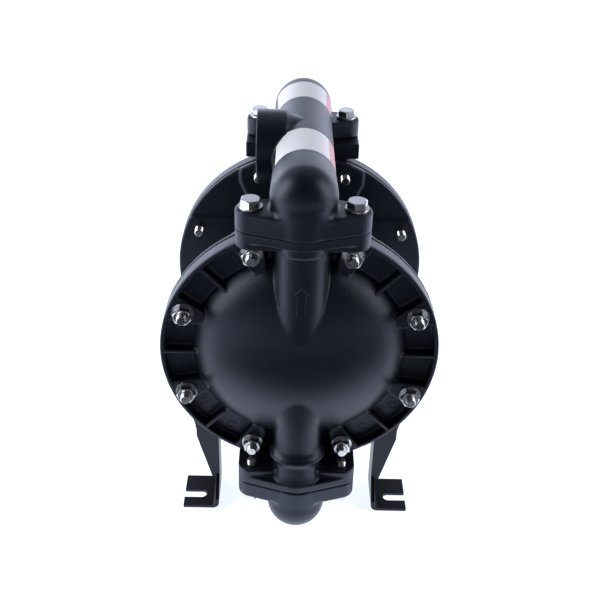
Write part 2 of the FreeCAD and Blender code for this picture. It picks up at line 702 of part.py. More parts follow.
def make_manifold(label, turn, holds_ball):
    """A manifold: tube between two elbows, a flange under each and the port's boss at the middle."""
    body = new_body(label, turn)
    flange_top = split_height + S.manifold_flange
    flange = new_sketch(body, "XY_Plane", split_height)
    flange_outline(flange, -port_offset)
    flanges = pad(body, flange, S.manifold_flange)
    mirror(body, [flanges], "XZ_Plane")
    for height, rounding in ((flange_top, S.flange_round), (split_height, S.joint_round)):
        round_edges(body, lambda edge: near(edge.BoundBox.ZMin, height) and near(edge.BoundBox.ZMax, height),
                    rounding)
    tube = new_sketch(body, "XZ_Plane")
    draw_circle(tube, 0, tube_height, S.tube_radius)
    pad(body, tube, 2 * port_offset, symmetric=True)
    boss = new_sketch(body, "XY_Plane", tube_height)
    step = S.boss_radius - S.tube_radius
    blend_radius = (S.boss_blend * S.boss_blend + step * step) / (2 * step)
    draw_axis(boss, 0, 0, along_x=True)
    draw(boss, [
        (-S.boss_reach, 0),
        (0, 0),
        (0, S.tube_radius, -blend_radius),
        (-S.boss_blend, S.boss_radius),
        (-S.boss_reach, S.boss_radius),
    ])
    revolve(body, boss, "Axis0")
    neck = new_sketch(body, "XY_Plane", split_height)
    draw_circle(neck, 0, -port_offset, S.neck_radius)
    necks = pad(body, neck, tube_height - split_height)
    elbow = new_sketch(body, "YZ_Plane")
    draw_axis(elbow, -port_offset, tube_height, along_x=False)
    draw(elbow, [
        (-port_offset, tube_height - S.elbow_radius, LEFT_HALF),
        (-port_offset, tube_height + S.elbow_radius),
    ])
    elbows = revolve(body, elbow, "Axis0")
    mirror(body, [necks, elbows], "XZ_Plane")

    # Flow passages and the port's thread
    run = new_sketch(body, "XZ_Plane")
    draw_circle(run, 0, tube_height, S.flow_radius)
    pocket(body, run, 2 * port_offset, symmetric=True)
    port = new_sketch(body, "YZ_Plane", -S.boss_reach)
    draw_circle(port, 0, tube_height, S.port_radius)
    pocket(body, port, S.port_depth, backward=True)
    branch = new_sketch(body, "YZ_Plane", -S.boss_reach)
    draw_circle(branch, 0, tube_height, S.flow_radius)
    pocket(body, branch, S.boss_reach, backward=True)
    drop = new_sketch(body, "XY_Plane", split_height)
    draw_circle(drop, 0, -port_offset, chamber_radius if holds_ball else S.flow_radius)
    drops = [pocket(body, drop, tube_height - split_height, backward=True)]
    if not holds_ball:
        seat_room = new_sketch(body, "XY_Plane", split_height)
        draw_circle(seat_room, 0, -port_offset, S.valve_seat_radius + S.seat_gap)
        drops.append(pocket(body, seat_room, S.valve_seat_height, backward=True))
    groove = new_sketch(body, "XY_Plane", split_height)
    draw_circle(groove, 0, -port_offset, S.oring_radius + S.oring_section + S.seat_gap)
    draw_circle(groove, 0, -port_offset, S.oring_radius - S.oring_section - S.seat_gap)
    drops.append(pocket(body, groove, 2 * S.oring_section, backward=True))
    bolt_holes = new_sketch(body, "XY_Plane", split_height)
    for hand in (1, -1):
        draw_circle(bolt_holes, hand * S.flange_bolt_reach, -port_offset, S.stud_radius + S.hole_gap)
    drops.append(pocket(body, bolt_holes, S.manifold_flange, backward=True))
    mirror(body, drops, "XZ_Plane")
    if holds_ball:
        stop_base = split_height + ball_top_rise
        stop_top = tube_height + S.flow_radius + S.stop_width
        stop = new_sketch(body, "XY_Plane", stop_base)
        draw_circle(stop, 0, -port_offset, S.stop_width / 2)
        stops = pad(body, stop, stop_top - stop_base)
        mirror(body, [stops], "XZ_Plane")
    return body


def make_air_cap(label, placement):
    """An air cap: flanged disc with corner recesses, a shallow bowl and a deeper hub."""
    body = new_body(label, placement)
    bowl_floor = clamp_inner - S.air_bowl_depth
    disc = new_sketch(body, "XZ_Plane")
    draw(disc, [
        (0, hub_face),
        (S.hub_radius, hub_face),
        (S.hub_radius, S.air_face),
        (S.cap_radius, S.air_face),
        (S.cap_radius, clamp_inner),
        (air_bowl_radius, clamp_inner),
        (air_bowl_radius, bowl_floor),
        (S.hub_radius - S.hub_wall, bowl_floor),
        (S.hub_radius - S.hub_wall, hub_floor_face),
        (0, hub_floor_face),
    ])
    revolve(body, disc)
    round_circle(body, S.cap_radius, S.air_face, S.cap_edge_round)

    # Corner recesses between the studs, on the face towards the mid-plane
    outside = S.cap_radius + S.pocket_depth
    corner_y = S.pocket_low - S.pocket_round
    corner_x = root(outside * outside - corner_y * corner_y)
    for side in (1, -1):
        recess = new_sketch(body, "XY_Plane", S.air_face)
        draw(recess, [
            (S.pocket_neck + S.pocket_round, side * S.pocket_low),
            (corner_x - S.pocket_round, side * S.pocket_low, -side * S.pocket_round),
            (corner_x, side * corner_y),
            (outside, side * corner_y),
            (outside, side * outside),
            (S.pocket_side, side * outside),
            (S.pocket_side, side * S.pocket_bend_high),
            (S.pocket_neck, side * S.pocket_bend_low),
            (S.pocket_neck, side * (S.pocket_low + S.pocket_round), side * S.pocket_round),
        ])
        cut = pocket(body, recess, S.pocket_depth, backward=True)
        mirror(body, [cut], "YZ_Plane")

    stud_hole = new_sketch(body, "XY_Plane", S.air_face, stud_angle)
    draw_circle(stud_hole, stud_circle, 0, S.stud_radius + S.seat_gap)
    holes = pocket(body, stud_hole, S.air_flange, backward=True)
    polar(body, [holes], S.stud_count)
    center_holes = new_sketch(body, "XY_Plane", hub_face)
    draw_circle(center_holes, 0, 0, S.rod_radius + S.hole_gap)
    draw_circle(center_holes, 0, S.pilot_height, S.pilot_radius + S.hole_gap)
    pocket(body, center_holes, S.hub_wall, backward=True)

    # Countersunk holes of the hub's screws
    screw_hole = new_sketch(body, "XZ_Plane")
    x = S.hub_screw_circle
    wide = S.hub_screw_head + S.seat_gap
    narrow = S.hub_screw_radius + S.seat_gap
    draw_axis(screw_hole, x, hub_face, along_x=False)
    draw(screw_hole, [(x, hub_face), (x + narrow, hub_face), (x + narrow, hub_floor_face - wide + narrow),
                      (x + wide, hub_floor_face), (x, hub_floor_face)])
    cut = revolve(body, screw_hole, "Axis0", cut=True)
    polar(body, [cut], S.hub_screw_count)
    return body


def make_center_body():
    """The centre body: block with round end flanges, bores for the rod and the pilot rod."""
    body = new_body("center_body")
    block = new_sketch(body, "XZ_Plane")
    draw(block, [(-S.center_side, -S.center_bottom), (S.center_side, -S.center_bottom),
                 (S.center_side, S.center_top), (-S.center_side, S.center_top)])
    pad(body, block, 2 * S.center_half, symmetric=True)
    end = new_sketch(body, "XZ_Plane", S.center_half)
    draw_circle(end, 0, 0, S.hub_radius)
    ends = pad(body, end, S.center_flange, backward=True)
    mirror(body, [ends], "XZ_Plane")

    bore = new_sketch(body, "XZ_Plane")
    draw_circle(bore, 0, 0, S.rod_radius + S.bushing_wall)
    draw_circle(bore, 0, S.pilot_height, S.pilot_radius + S.fit_gap)
    pocket(body, bore, 2 * S.center_half, symmetric=True)
    for x, y, radius, depth in (
            (0, 0, S.rod_radius + S.rod_seal_wall, S.rod_seal_width),
            (0, S.pilot_height, S.pilot_radius + S.pilot_seal_wall, S.pilot_seal_width)):
        gland = new_sketch(body, "XZ_Plane", S.center_half)
        draw_circle(gland, x, y, radius)
        glands = pocket(body, gland, depth)
        mirror(body, [glands], "XZ_Plane")
    for side in (1, -1):
        tapped = new_sketch(body, "XZ_Plane", side * S.center_half)
        draw_circle(tapped, S.hub_screw_circle, 0, S.hub_screw_radius + S.seat_gap)
        taps = pocket(body, tapped, S.hub_screw_depth, backward=side < 0)
        polar(body, [taps], S.hub_screw_count, "Y_Axis")
    valve_taps = new_sketch(body, "YZ_Plane", S.center_side)
    for hand in (1, -1):
        for rise in (1, -1):
            draw_circle(valve_taps, hand * S.valve_bolt_reach_y, rise * S.valve_bolt_reach_z,
                        S.valve_screw_radius + S.seat_gap)
    pocket(body, valve_taps, S.valve_screw_depth)
    exhaust = new_sketch(body, "YZ_Plane", -S.center_side)
    draw_circle(exhaust, 0, -S.exhaust_drop, S.exhaust_radius)
    pocket(body, exhaust, S.exhaust_depth, backward=True)
    return body


def make_gasket(label, placement):
    """The gasket between an air cap's hub and the centre body."""
    body = new_body(label, placement)
    disc = new_sketch(body, "XY_Plane", S.center_half)
    draw_circle(disc, 0, 0, S.hub_radius)
    draw_circle(disc, 0, 0, S.rod_radius + S.hole_gap)
    draw_circle(disc, 0, S.pilot_height, S.pilot_radius + S.hole_gap)
    pad(body, disc, S.gasket_thickness)
    screw_hole = new_sketch(body, "XY_Plane", S.center_half)
    draw_circle(screw_hole, S.hub_screw_circle, 0, S.hub_screw_radius + S.hole_gap)
    polar(body, [pocket(body, screw_hole, S.gasket_thickness, backward=True)], S.hub_screw_count)
    return body


def make_hub_screws(label, placement):
    """The countersunk screws that hold an air cap's hub to the centre body."""
    body = new_body(label, placement)
    screw = new_sketch(body, "XZ_Plane")
    x = S.hub_screw_circle
    end = S.center_half - S.hub_screw_depth + S.rest_gap
    radius = S.hub_screw_radius
    head = S.hub_screw_head
    draw_axis(screw, x, end, along_x=False)
    draw(screw, [(x, end), (x + radius, end), (x + radius, hub_floor_face - head + radius),
                 (x + head, hub_floor_face), (x, hub_floor_face)])
    screws = revolve(body, screw, "Axis0")
    polar(body, [screws], S.hub_screw_count)
    return body


def make_diaphragm(label, placement):
    """A diaphragm: thin clamped edge, one convolution and a thicker centre."""
    edge = S.cap_radius - S.diaphragm_edge_gap
    roll_outer = air_bowl_radius - S.diaphragm_thickness
    roll_inner = S.plate_radius + S.diaphragm_thickness
    body = revolved_body(label, [
        (S.rod_screw_radius + S.seat_gap, inner_plate_face),
        (roll_inner, inner_plate_face),
        (roll_outer, clamp_inner),
        (edge, clamp_inner),
        (edge, joint_plane),
        (roll_outer, joint_plane),
        (roll_inner, outer_plate_base),
        (S.rod_screw_radius + S.seat_gap, outer_plate_base),
    ], placement)
    stud_hole = new_sketch(body, "XY_Plane", clamp_inner, stud_angle)
    draw_circle(stud_hole, stud_circle, 0, S.stud_radius + S.hole_gap)
    holes = pocket(body, stud_hole, S.diaphragm_edge, backward=True)
    polar(body, [holes], S.stud_count)
    return body


def make_hex_group(label, placement, radius, low, height, bore, flats, count):
    """A ring of hexagon nuts round the pump's axis."""
    body = new_body(label, turned(placement, 180 / count))
    sketch = new_sketch(body, "XY_Plane", low)
    draw_hexagon(sketch, radius, 0, flats)
    draw_circle(sketch, radius, 0, bore)
    nuts = pad(body, sketch, height)
    polar(body, [nuts], count)
    return body


def make_ring_group(label, placement, radius, corners, count):
    """A ring of turned pieces round the pump's axis, from one half profile."""
    body = new_body(label, turned(placement, 180 / count))
    sketch = new_sketch(body, "XZ_Plane")
    draw_axis(sketch, radius, 0, along_x=False)
    draw(sketch, [(radius + corner[0], corner[1]) for corner in corners])
    pieces = revolve(body, sketch, "Axis0")
    polar(body, [pieces], count)
    return body


def make_manifold_hardware(kind, turn):
    """The four bolts of a manifold and their washers."""
    top = split_height + S.manifold_flange
    head_base = top + S.washer_thickness
    washers = new_body(f"{kind}_manifold_washers", turn)
    bolts = new_body(f"{kind}_manifold_bolts", turn)
    washer = new_sketch(washers, "XY_Plane", top)
    head = new_sketch(bolts, "XY_Plane", head_base)
    shank = new_sketch(bolts, "XY_Plane", head_base)
    for hand in (1, -1):
        x = hand * S.flange_bolt_reach
        draw_circle(washer, x, -port_offset, S.washer_radius)
        draw_circle(washer, x, -port_offset, S.washer_bore)
        draw_hexagon(head, x, -port_offset, S.nut_flats)
        draw_circle(shank, x, -port_offset, S.stud_radius)
    mirror(washers, [pad(washers, washer, S.washer_thickness)], "XZ_Plane")
    heads = pad(bolts, head, S.head_height)
    length = S.washer_thickness + S.manifold_flange + S.flange_block + S.bolt_tip
    shanks = pad(bolts, shank, length, backward=True)
    mirror(bolts, [heads, shanks], "XZ_Plane")


def make_check_valves(kind, turn, ball_base):
    """The O-rings of one manifold, and a seat and a ball at each of its ends."""
    seals = new_body(f"{kind}_manifold_seals", turn)
    section = new_sketch(seals, "YZ_Plane")
    draw_axis(section, -port_offset, 0, along_x=False)
    seal_z = split_height + S.oring_section
    draw_circle(section, S.oring_radius - port_offset, seal_z, S.oring_section)
    mirror(seals, [revolve(seals, section, "Axis0")], "XZ_Plane")
    for end, side in (("front", -1), ("rear", 1)):
        seat = new_body(f"{kind}_seat_{end}")
        ring = new_sketch(seat, "YZ_Plane")
        y = side * port_offset
        draw_axis(ring, y, 0, along_x=False)
        draw(ring, [(y + S.valve_seat_bore, ball_base - S.valve_seat_height),
                    (y + S.valve_seat_radius, ball_base - S.valve_seat_height),
                    (y + S.valve_seat_radius, ball_base),
                    (y + S.valve_seat_bore, ball_base)])
        revolve(seat, ring, "Axis0")
        ball = new_body(f"{kind}_ball_{end}")
        half = new_sketch(ball, "YZ_Plane")
        centre = ball_base + ball_seat_rise
        draw_axis(half, y, 0, along_x=False)
        draw(half, [(y, centre - S.ball_radius, LEFT_HALF), (y, centre + S.ball_radius)])
        revolve(ball, half, "Axis0")


def make_rod_pieces():
    """The diaphragm rod, the pilot rod, and their bushings and seals in the centre body."""
    bore = S.rod_screw_radius + S.fit_gap
    depth = S.rod_screw_depth + S.rest_gap
    revolved_body("diaphragm_rod", [
        (0, depth - S.rod_half), (bore, depth - S.rod_half), (bore, -S.rod_half), (S.rod_radius, -S.rod_half),
        (S.rod_radius, S.rod_half), (bore, S.rod_half), (bore, S.rod_half - depth), (0, S.rod_half - depth),
    ], FRONT)
    seal_base = S.center_half - S.rod_seal_width
    bushing_base = seal_base - S.bushing_length - S.rest_gap
    slide = S.rod_radius + S.fit_gap
    pilot_slide = S.pilot_radius + S.fit_gap
    rings = (
        ("rod_bushings", 0.0, slide, S.rod_radius + S.bushing_wall, bushing_base, S.bushing_length),
        ("rod_seals", 0.0, slide, S.rod_radius + S.rod_seal_wall, seal_base, S.rod_seal_width),
        ("pilot_seals", S.pilot_height, pilot_slide, S.pilot_radius + S.pilot_seal_wall,
         S.center_half - S.pilot_seal_width, S.pilot_seal_width),
    )
    for label, y, inner, outer, base, length in rings:
        body = new_body(label, FRONT)
        sketch = new_sketch(body, "XY_Plane", base)
        draw_circle(sketch, 0, y, outer)
        draw_circle(sketch, 0, y, inner)
        ring = pad(body, sketch, length)
        mirror(body, [ring], "XY_Plane")
    pilot = new_body("pilot_rod", FRONT)
    sketch = new_sketch(pilot, "XY_Plane")
    draw_circle(sketch, 0, S.pilot_height, S.pilot_radius)
    reach = S.rod_half - S.half_stroke + S.pilot_half_travel - S.rest_gap
    pad(pilot, sketch, 2 * reach, symmetric=True)


def make_end_pieces(end, placement):
    """Plates, screw and hardware at one end of the pump."""
    bore = S.rod_screw_radius + S.seat_gap
    rim = S.plate_radius
    revolved_body(f"inner_plate_{end}", ring_corners(bore, rim, S.rod_half, inner_plate_face), placement)
    revolved_body(f"outer_plate_{end}", [
        (bore, outer_plate_base),
        (rim, outer_plate_base),
        (rim, outer_plate_face - S.plate_round, S.plate_round),
        (rim - S.plate_round, outer_plate_face),
        (bore, outer_plate_face),
    ], placement)
    screw = new_body(f"plate_screw_{end}", placement)
    shank = new_sketch(screw, "XY_Plane", outer_plate_face)
    draw_circle(shank, 0, 0, S.rod_screw_radius)
    pad(screw, shank, outer_plate_face - S.rod_half + S.rod_screw_depth, backward=True)
    head = new_sketch(screw, "XY_Plane", outer_plate_face)
    draw_hexagon(head, 0, 0, S.rod_screw_flats)
    pad(screw, head, S.rod_screw_head)

    washer_base = rim_face
    nut_base = washer_base + S.washer_thickness
    stud_end = nut_base + S.nut_height + S.stud_tip
    stud_base = S.air_face - S.stud_tail
    radius, chamfer = S.stud_radius, S.tip_chamfer
    make_ring_group(f"cap_studs_{end}", placement, stud_circle, [
        (0, stud_base), (radius - chamfer, stud_base), (radius, stud_base + chamfer),
        (radius, stud_end - chamfer), (radius - chamfer, stud_end), (0, stud_end)], S.stud_count)
    make_ring_group(f"cap_washers_{end}", placement, stud_circle,
                    ring_corners(S.washer_bore, S.washer_radius, washer_base, nut_base), S.stud_count)
    make_hex_group(f"cap_nuts_{end}", placement, stud_circle, nut_base, S.nut_height,
                   S.stud_radius + S.seat_gap, S.nut_flats, S.stud_count)


def make_leg(label, hand, placement):
    """A leg: bent strip of foot and web, and a plate with two ears on the cap's studs."""
    body = new_body(label, placement)
    near_x = stud_circle * cosine(3 * stud_angle)
    near_z = -(stud_circle * sine(3 * stud_angle))
    far_x = stud_circle * cosine(stud_angle)
    far_z = -(stud_circle * sine(stud_angle))
    web_in = far_x - S.leg_web_inset
    web_out = web_in + S.leg_sheet
    foot_end = web_in + S.foot_length
    floor = -axis_height
    top = -S.leg_top
    outer_bend = S.leg_bend + S.leg_sheet
    strip = new_sketch(body, "XZ_Plane", S.foot_back)
    draw(strip, [
        (web_in, top),
        (web_in, floor + outer_bend, outer_bend),
        (web_in + outer_bend, floor),
        (foot_end, floor),
        (foot_end, floor + S.leg_sheet),
        (web_out + S.leg_bend, floor + S.leg_sheet, -S.leg_bend),
        (web_out, floor + outer_bend),
        (web_out, top),
    ], hand)
    pad(body, strip, S.foot_front - S.foot_back)

    # The web's front edge slants back from the toe to the plate
    plate_front = S.air_face - S.seat_gap
    plate_back = plate_front - S.leg_sheet
    trim = new_sketch(body, "YZ_Plane")
    toe = floor + S.leg_toe_rise
    step = S.foot_front - plate_front
    past = S.leg_sheet
    draw(trim, [(-S.foot_front - past, toe - step - past), (-plate_front, toe), (-plate_front, top + past),
                (-S.foot_front - past, top + past)])
    pocket(body, trim, 2 * foot_end, symmetric=True)

    # Plate on the air cap's inner face, with its ears round two studs
    plate = new_sketch(body, "XZ_Plane", plate_back)
    ear = S.leg_ear_radius
    ankle = floor + S.leg_ankle_rise
    shoulder_x = web_in + S.leg_shoulder_width
    draw(plate, [
        (web_in, ankle),
        (web_in + S.leg_ankle_width, ankle),
        (shoulder_x, near_z - S.leg_shoulder_low),
        (shoulder_x, near_z - S.leg_shoulder_high),
        (far_x + ear, far_z, LEFT_HALF),
        (far_x - ear, far_z),
        (near_x, near_z + ear, LEFT_HALF),
        (near_x, near_z - ear),
        (web_in, near_z - S.leg_inner_drop),
    ], hand)
    pad(body, plate, S.leg_sheet)
    holes = new_sketch(body, "XZ_Plane", plate_back)
    draw_circle(holes, hand * near_x, near_z, S.stud_radius + S.hole_gap)
    draw_circle(holes, hand * far_x, far_z, S.stud_radius + S.hole_gap)
    pocket(body, holes, S.leg_sheet, backward=True)

    # Slot of the foot, open to the outside
    slot = new_sketch(body, "XY_Plane", floor)
    half = S.foot_slot_width / 2
    end = foot_end - S.foot_slot_depth + half
    draw(slot, [
        (end, half - S.foot_slot, LEFT_HALF),
        (end, -half - S.foot_slot),
        (foot_end + past, -half - S.foot_slot),
        (foot_end + past, half - S.foot_slot),
    ], hand)
    pocket(body, slot, S.leg_sheet, backward=True)
    return body


def make_leg_nuts():
    """The thin nuts that hold the legs on the studs' tails."""
    body = new_body("leg_nuts")
    base = S.air_face - S.seat_gap - S.leg_sheet
    nuts = new_sketch(body, "XZ_Plane", base)
    for hand in (1, -1):
        for angle in (stud_angle, 3 * stud_angle):
            x = hand * stud_circle * cosine(angle)
            z = -(stud_circle * sine(angle))
            draw_hexagon(nuts, x, z, S.nut_flats)
            draw_circle(nuts, x, z, S.stud_radius + S.seat_gap)
    mirror(body, [pad(body, nuts, S.thin_nut_height, backward=True)], "XZ_Plane")


def make_air_valve():
    """The air valve: gasket, body, sleeve, spool, end caps and their screws."""
    face = S.center_side
    base = face + S.gasket_thickness
    middle = base + S.valve_width / 2
    outer = base + S.valve_width
    half_y, half_z = S.valve_half_length, S.valve_half_height
    bolt_places = [(hand * S.valve_bolt_reach_y, rise * S.valve_bolt_reach_z)
                   for hand in (1, -1) for rise in (1, -1)]

    def slab(label, start, depth):
        body = new_body(label)
        sketch = new_sketch(body, "YZ_Plane", start)
        draw(sketch, [(-half_y, -half_z), (half_y, -half_z), (half_y, half_z), (-half_y, half_z)])
        for y, z in bolt_places:
            draw_circle(sketch, y, z, S.valve_screw_radius + S.hole_gap)
        pad(body, sketch, depth)
        return body

    slab("valve_gasket", face, S.gasket_thickness)
    body = slab("valve_body", base, S.valve_width)
    boss = new_sketch(body, "YZ_Plane", outer)
    draw_circle(boss, 0, 0, S.air_inlet_radius + S.air_inlet_wall)
    pad(body, boss, S.air_inlet_reach)
    inlet_face = outer + S.air_inlet_reach
    for radius, depth in ((S.air_inlet_radius, S.air_inlet_depth), (S.spool_neck, inlet_face - middle)):
        inlet = new_sketch(body, "YZ_Plane", inlet_face)
        draw_circle(inlet, 0, 0, radius)
        pocket(body, inlet, depth)
    bore = new_sketch(body, "XZ_Plane")
    draw_circle(bore, middle, 0, S.sleeve_radius)
    pocket(body, bore, 2 * half_y, symmetric=True)
    cap_places = [rise * S.valve_cap_screw_reach for rise in (1, -1)]
    for side in (1, -1):
        taps = new_sketch(body, "XZ_Plane", side * half_y)
        for rise in cap_places:
            draw_circle(taps, middle, rise, S.valve_screw_radius + S.seat_gap)
        pocket(body, taps, S.valve_screw_depth, backward=side < 0)

    sleeve = new_body("valve_sleeve")
    ring = new_sketch(sleeve, "XZ_Plane")
    draw_circle(ring, middle, 0, S.sleeve_radius)
    draw_circle(ring, middle, 0, S.spool_radius + S.fit_gap)
    pad(sleeve, ring, 2 * half_y, symmetric=True)
    port = new_sketch(sleeve, "YZ_Plane", middle)
    draw_circle(port, 0, 0, S.spool_neck)
    pocket(sleeve, port, S.sleeve_radius, backward=True)

    spool = new_body("valve_spool")
    half = new_sketch(spool, "XY_Plane")
    end = half_y - S.spool_half_travel - S.rest_gap
    neck = S.spool_neck
    land = S.spool_land
    draw_axis(half, middle, 0, along_x=False)
    draw(half, [
        (middle, -end), (middle + S.spool_radius, -end), (middle + S.spool_radius, land - end),
        (middle + neck, land - end), (middle + neck, -land / 2), (middle + S.spool_radius, -land / 2),
        (middle + S.spool_radius, land / 2), (middle + neck, land / 2), (middle + neck, end - land),
        (middle + S.spool_radius, end - land), (middle + S.spool_radius, end), (middle, end),
    ])
    revolve(spool, half, "Axis0")

    caps = new_body("valve_end_caps")
    plate = new_sketch(caps, "XZ_Plane", half_y)
    low, high = base + S.gasket_thickness, outer - S.gasket_thickness
    draw(plate, [(low, -half_z), (high, -half_z), (high, half_z), (low, half_z)])
    for rise in cap_places:
        draw_circle(plate, middle, rise, S.valve_screw_radius + S.hole_gap)
    mirror(caps, [pad(caps, plate, S.valve_cap_thickness)], "XZ_Plane")

    screws = new_body("valve_cap_screws")
    cap_face = half_y + S.valve_cap_thickness
    heads = new_sketch(screws, "XZ_Plane", cap_face)
    shanks = new_sketch(screws, "XZ_Plane", cap_face)
    for rise in cap_places:
        draw_circle(heads, middle, rise, S.valve_screw_head)
        draw_circle(shanks, middle, rise, S.valve_screw_radius)
    head = pad(screws, heads, S.valve_screw_head_height)
    shank = pad(screws, shanks, S.valve_cap_thickness + S.valve_screw_depth - S.rest_gap, backward=True)
    mirror(screws, [head, shank], "XZ_Plane")

    bolts = new_body("valve_bolts")
    heads = new_sketch(bolts, "YZ_Plane", outer)
    shanks = new_sketch(bolts, "YZ_Plane", outer)
    for y, z in bolt_places:
        draw_circle(heads, y, z, S.valve_screw_head)
        draw_circle(shanks, y, z, S.valve_screw_radius)
    pad(bolts, heads, S.valve_screw_head_height)
    pad(bolts, shanks, outer - face + S.valve_screw_depth - S.rest_gap, backward=True)


def make_muffler():
    """The exhaust muffler: threaded stub and a hollow can with vent slots, along -X."""
    sideways = Placement(Vector(), Rotation(Vector(0, 1, 0), -90))
    body = new_body("muffler", sideways, axis_height - S.exhaust_drop)
    start = S.center_side
    stub = S.exhaust_radius - S.seat_gap
    stub_end = start - S.exhaust_depth + S.rest_gap
    end = start + S.muffler_length
    bore = stub - S.muffler_wall
    inside = S.muffler_radius - S.muffler_wall
    half = new_sketch(body, "XZ_Plane")
    draw(half, [
        (bore, stub_end), (stub, stub_end), (stub, start), (S.muffler_radius, start), (S.muffler_radius, end),
        (0, end), (0, end - S.muffler_wall), (inside, end - S.muffler_wall), (inside, start + S.muffler_wall),
        (bore, start + S.muffler_wall),
    ])
    revolve(body, half)
    vent = new_sketch(body, "YZ_Plane")
    half_width = S.muffler_slot_width / 2
    low = start + (S.muffler_length - S.muffler_slot_length) / 2
    high = low + S.muffler_slot_length
    draw(vent, [(-half_width, low), (half_width, low), (half_width, high), (-half_width, high)])
    vents = pocket(body, vent, S.muffler_radius, backward=True)
    polar(body, [vents], S.muffler_slot_count)
    return body


for end, placement in ENDS:
    make_fluid_cap(f"fluid_cap_{end}", placement)
    make_air_cap(f"air_cap_{end}", placement)
    make_diaphragm(f"diaphragm_{end}", placement)
    make_gasket(f"center_gasket_{end}", placement)
    make_hub_screws(f"hub_screws_{end}", placement)
    make_end_pieces(end, placement)

UPRIGHT = Placement()
UPSIDE_DOWN = Placement(Vector(), Rotation(Vector(1, 0, 0), 180))
for kind, turn, holds_ball in (("outlet", UPRIGHT, True), ("inlet", UPSIDE_DOWN, False)):
    make_manifold(f"{kind}_manifold", turn, holds_ball)
    make_manifold_hardware(kind, turn)
    make_check_valves(kind, turn, split_height if holds_ball else -split_height)

make_center_body()
make_rod_pieces()
make_air_valve()
make_muffler()
for hand, side in ((-1, "left"), (1, "right")):
    make_leg(f"leg_front_{side}", hand, Placement())
    make_leg(f"leg_rear_{side}", -hand, Placement(Vector(), Rotation(Vector(0, 0, 1), 180)))
make_leg_nuts()

doc.recompute()
failed = [item.Name for item in doc.Objects if "Invalid" in item.State or "Error" in item.State]
failed += [node.Label for node in nodes
           if node.Shape.isNull() or not node.Shape.isValid() or not node.Shape.Solids]

# A cut that takes nothing away points away from its solid
cuts = [item for item in doc.Objects if item.TypeId in ("PartDesign::Pocket", "PartDesign::Groove")]
failed += [f"{cut.getParent().Label} {cut.Name}" for cut in cuts
           if not cut.Shape.Volume < cut.BaseFeature.Shape.Volume]
if failed:
    raise RuntimeError("not built: " + ", ".join(failed))

os.makedirs("parts", exist_ok=True)
for node in nodes:
    node.Shape.exportStep(f"parts/{node.Label}.step")
    print(node.Label, len(node.Shape.Solids), "solids", round(node.Shape.Volume), "mm3")
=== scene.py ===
import math

import bmesh
import bpy
from mathutils import Matrix, Vector


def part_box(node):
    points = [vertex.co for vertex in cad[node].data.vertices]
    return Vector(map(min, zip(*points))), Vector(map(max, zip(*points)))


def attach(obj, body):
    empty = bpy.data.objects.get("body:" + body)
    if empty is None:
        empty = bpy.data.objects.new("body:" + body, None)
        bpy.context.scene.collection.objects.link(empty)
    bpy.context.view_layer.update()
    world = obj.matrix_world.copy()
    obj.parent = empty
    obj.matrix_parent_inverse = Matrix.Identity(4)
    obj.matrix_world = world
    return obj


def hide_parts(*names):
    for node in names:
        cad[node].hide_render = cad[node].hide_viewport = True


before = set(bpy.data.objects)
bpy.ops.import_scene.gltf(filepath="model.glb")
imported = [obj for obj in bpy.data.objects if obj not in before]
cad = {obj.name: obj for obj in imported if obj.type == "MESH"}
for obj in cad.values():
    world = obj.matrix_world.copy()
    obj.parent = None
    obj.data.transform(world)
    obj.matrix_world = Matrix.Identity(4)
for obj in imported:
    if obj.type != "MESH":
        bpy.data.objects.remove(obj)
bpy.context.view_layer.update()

# Castings
# The caps, the manifolds, the centre body and the air valve are cast in aluminium, blasted
# and powder coated in satin black. The coat is thin, with a fine grain, and softens the edges.
MM = 0.001


def add_node(tree, kind, inputs=None, **settings):
    """A node with its settings and the values of its free inputs."""
    item = tree.nodes.new(kind)
    for name, value in settings.items():
        setattr(item, name, value)
    for name, value in (inputs or {}).items():
        item.inputs[name].default_value = value
    return item


def new_group(name, inputs, outputs):
    """A shader node group with named sockets, and its two end nodes."""
    group = bpy.data.node_groups.new(name, "ShaderNodeTree")
    for title, kind, value in inputs:
        socket = group.interface.new_socket(title, in_out="INPUT", socket_type=kind)
        if value is not None:
            socket.default_value = value
    for title, kind in outputs:
        group.interface.new_socket(title, in_out="OUTPUT", socket_type=kind)
    return group, add_node(group, "NodeGroupInput"), add_node(group, "NodeGroupOutput")


def make_grain_group():
    """A fine and a coarse noise of one surface: a height, and a slow change of tone."""
    group, source, sink = new_group(
        "surface grain",
        [("Vector", "NodeSocketVector", None), ("Grain", "NodeSocketFloat", 1500.0)],
        [("Height", "NodeSocketFloat"), ("Tone", "NodeSocketFloat")])
    fine = add_node(group, "ShaderNodeTexNoise", {"Detail": 3.0, "Roughness": 0.6})
    coarse = add_node(group, "ShaderNodeTexNoise", {"Scale": 38.0, "Detail": 3.0, "Roughness": 0.55})
    group.links.new(source.outputs["Vector"], fine.inputs["Vector"])
    group.links.new(source.outputs["Grain"], fine.inputs["Scale"])
    group.links.new(source.outputs["Vector"], coarse.inputs["Vector"])
    group.links.new(fine.outputs["Fac"], sink.inputs["Height"])
    group.links.new(coarse.outputs["Fac"], sink.inputs["Tone"])
    return group


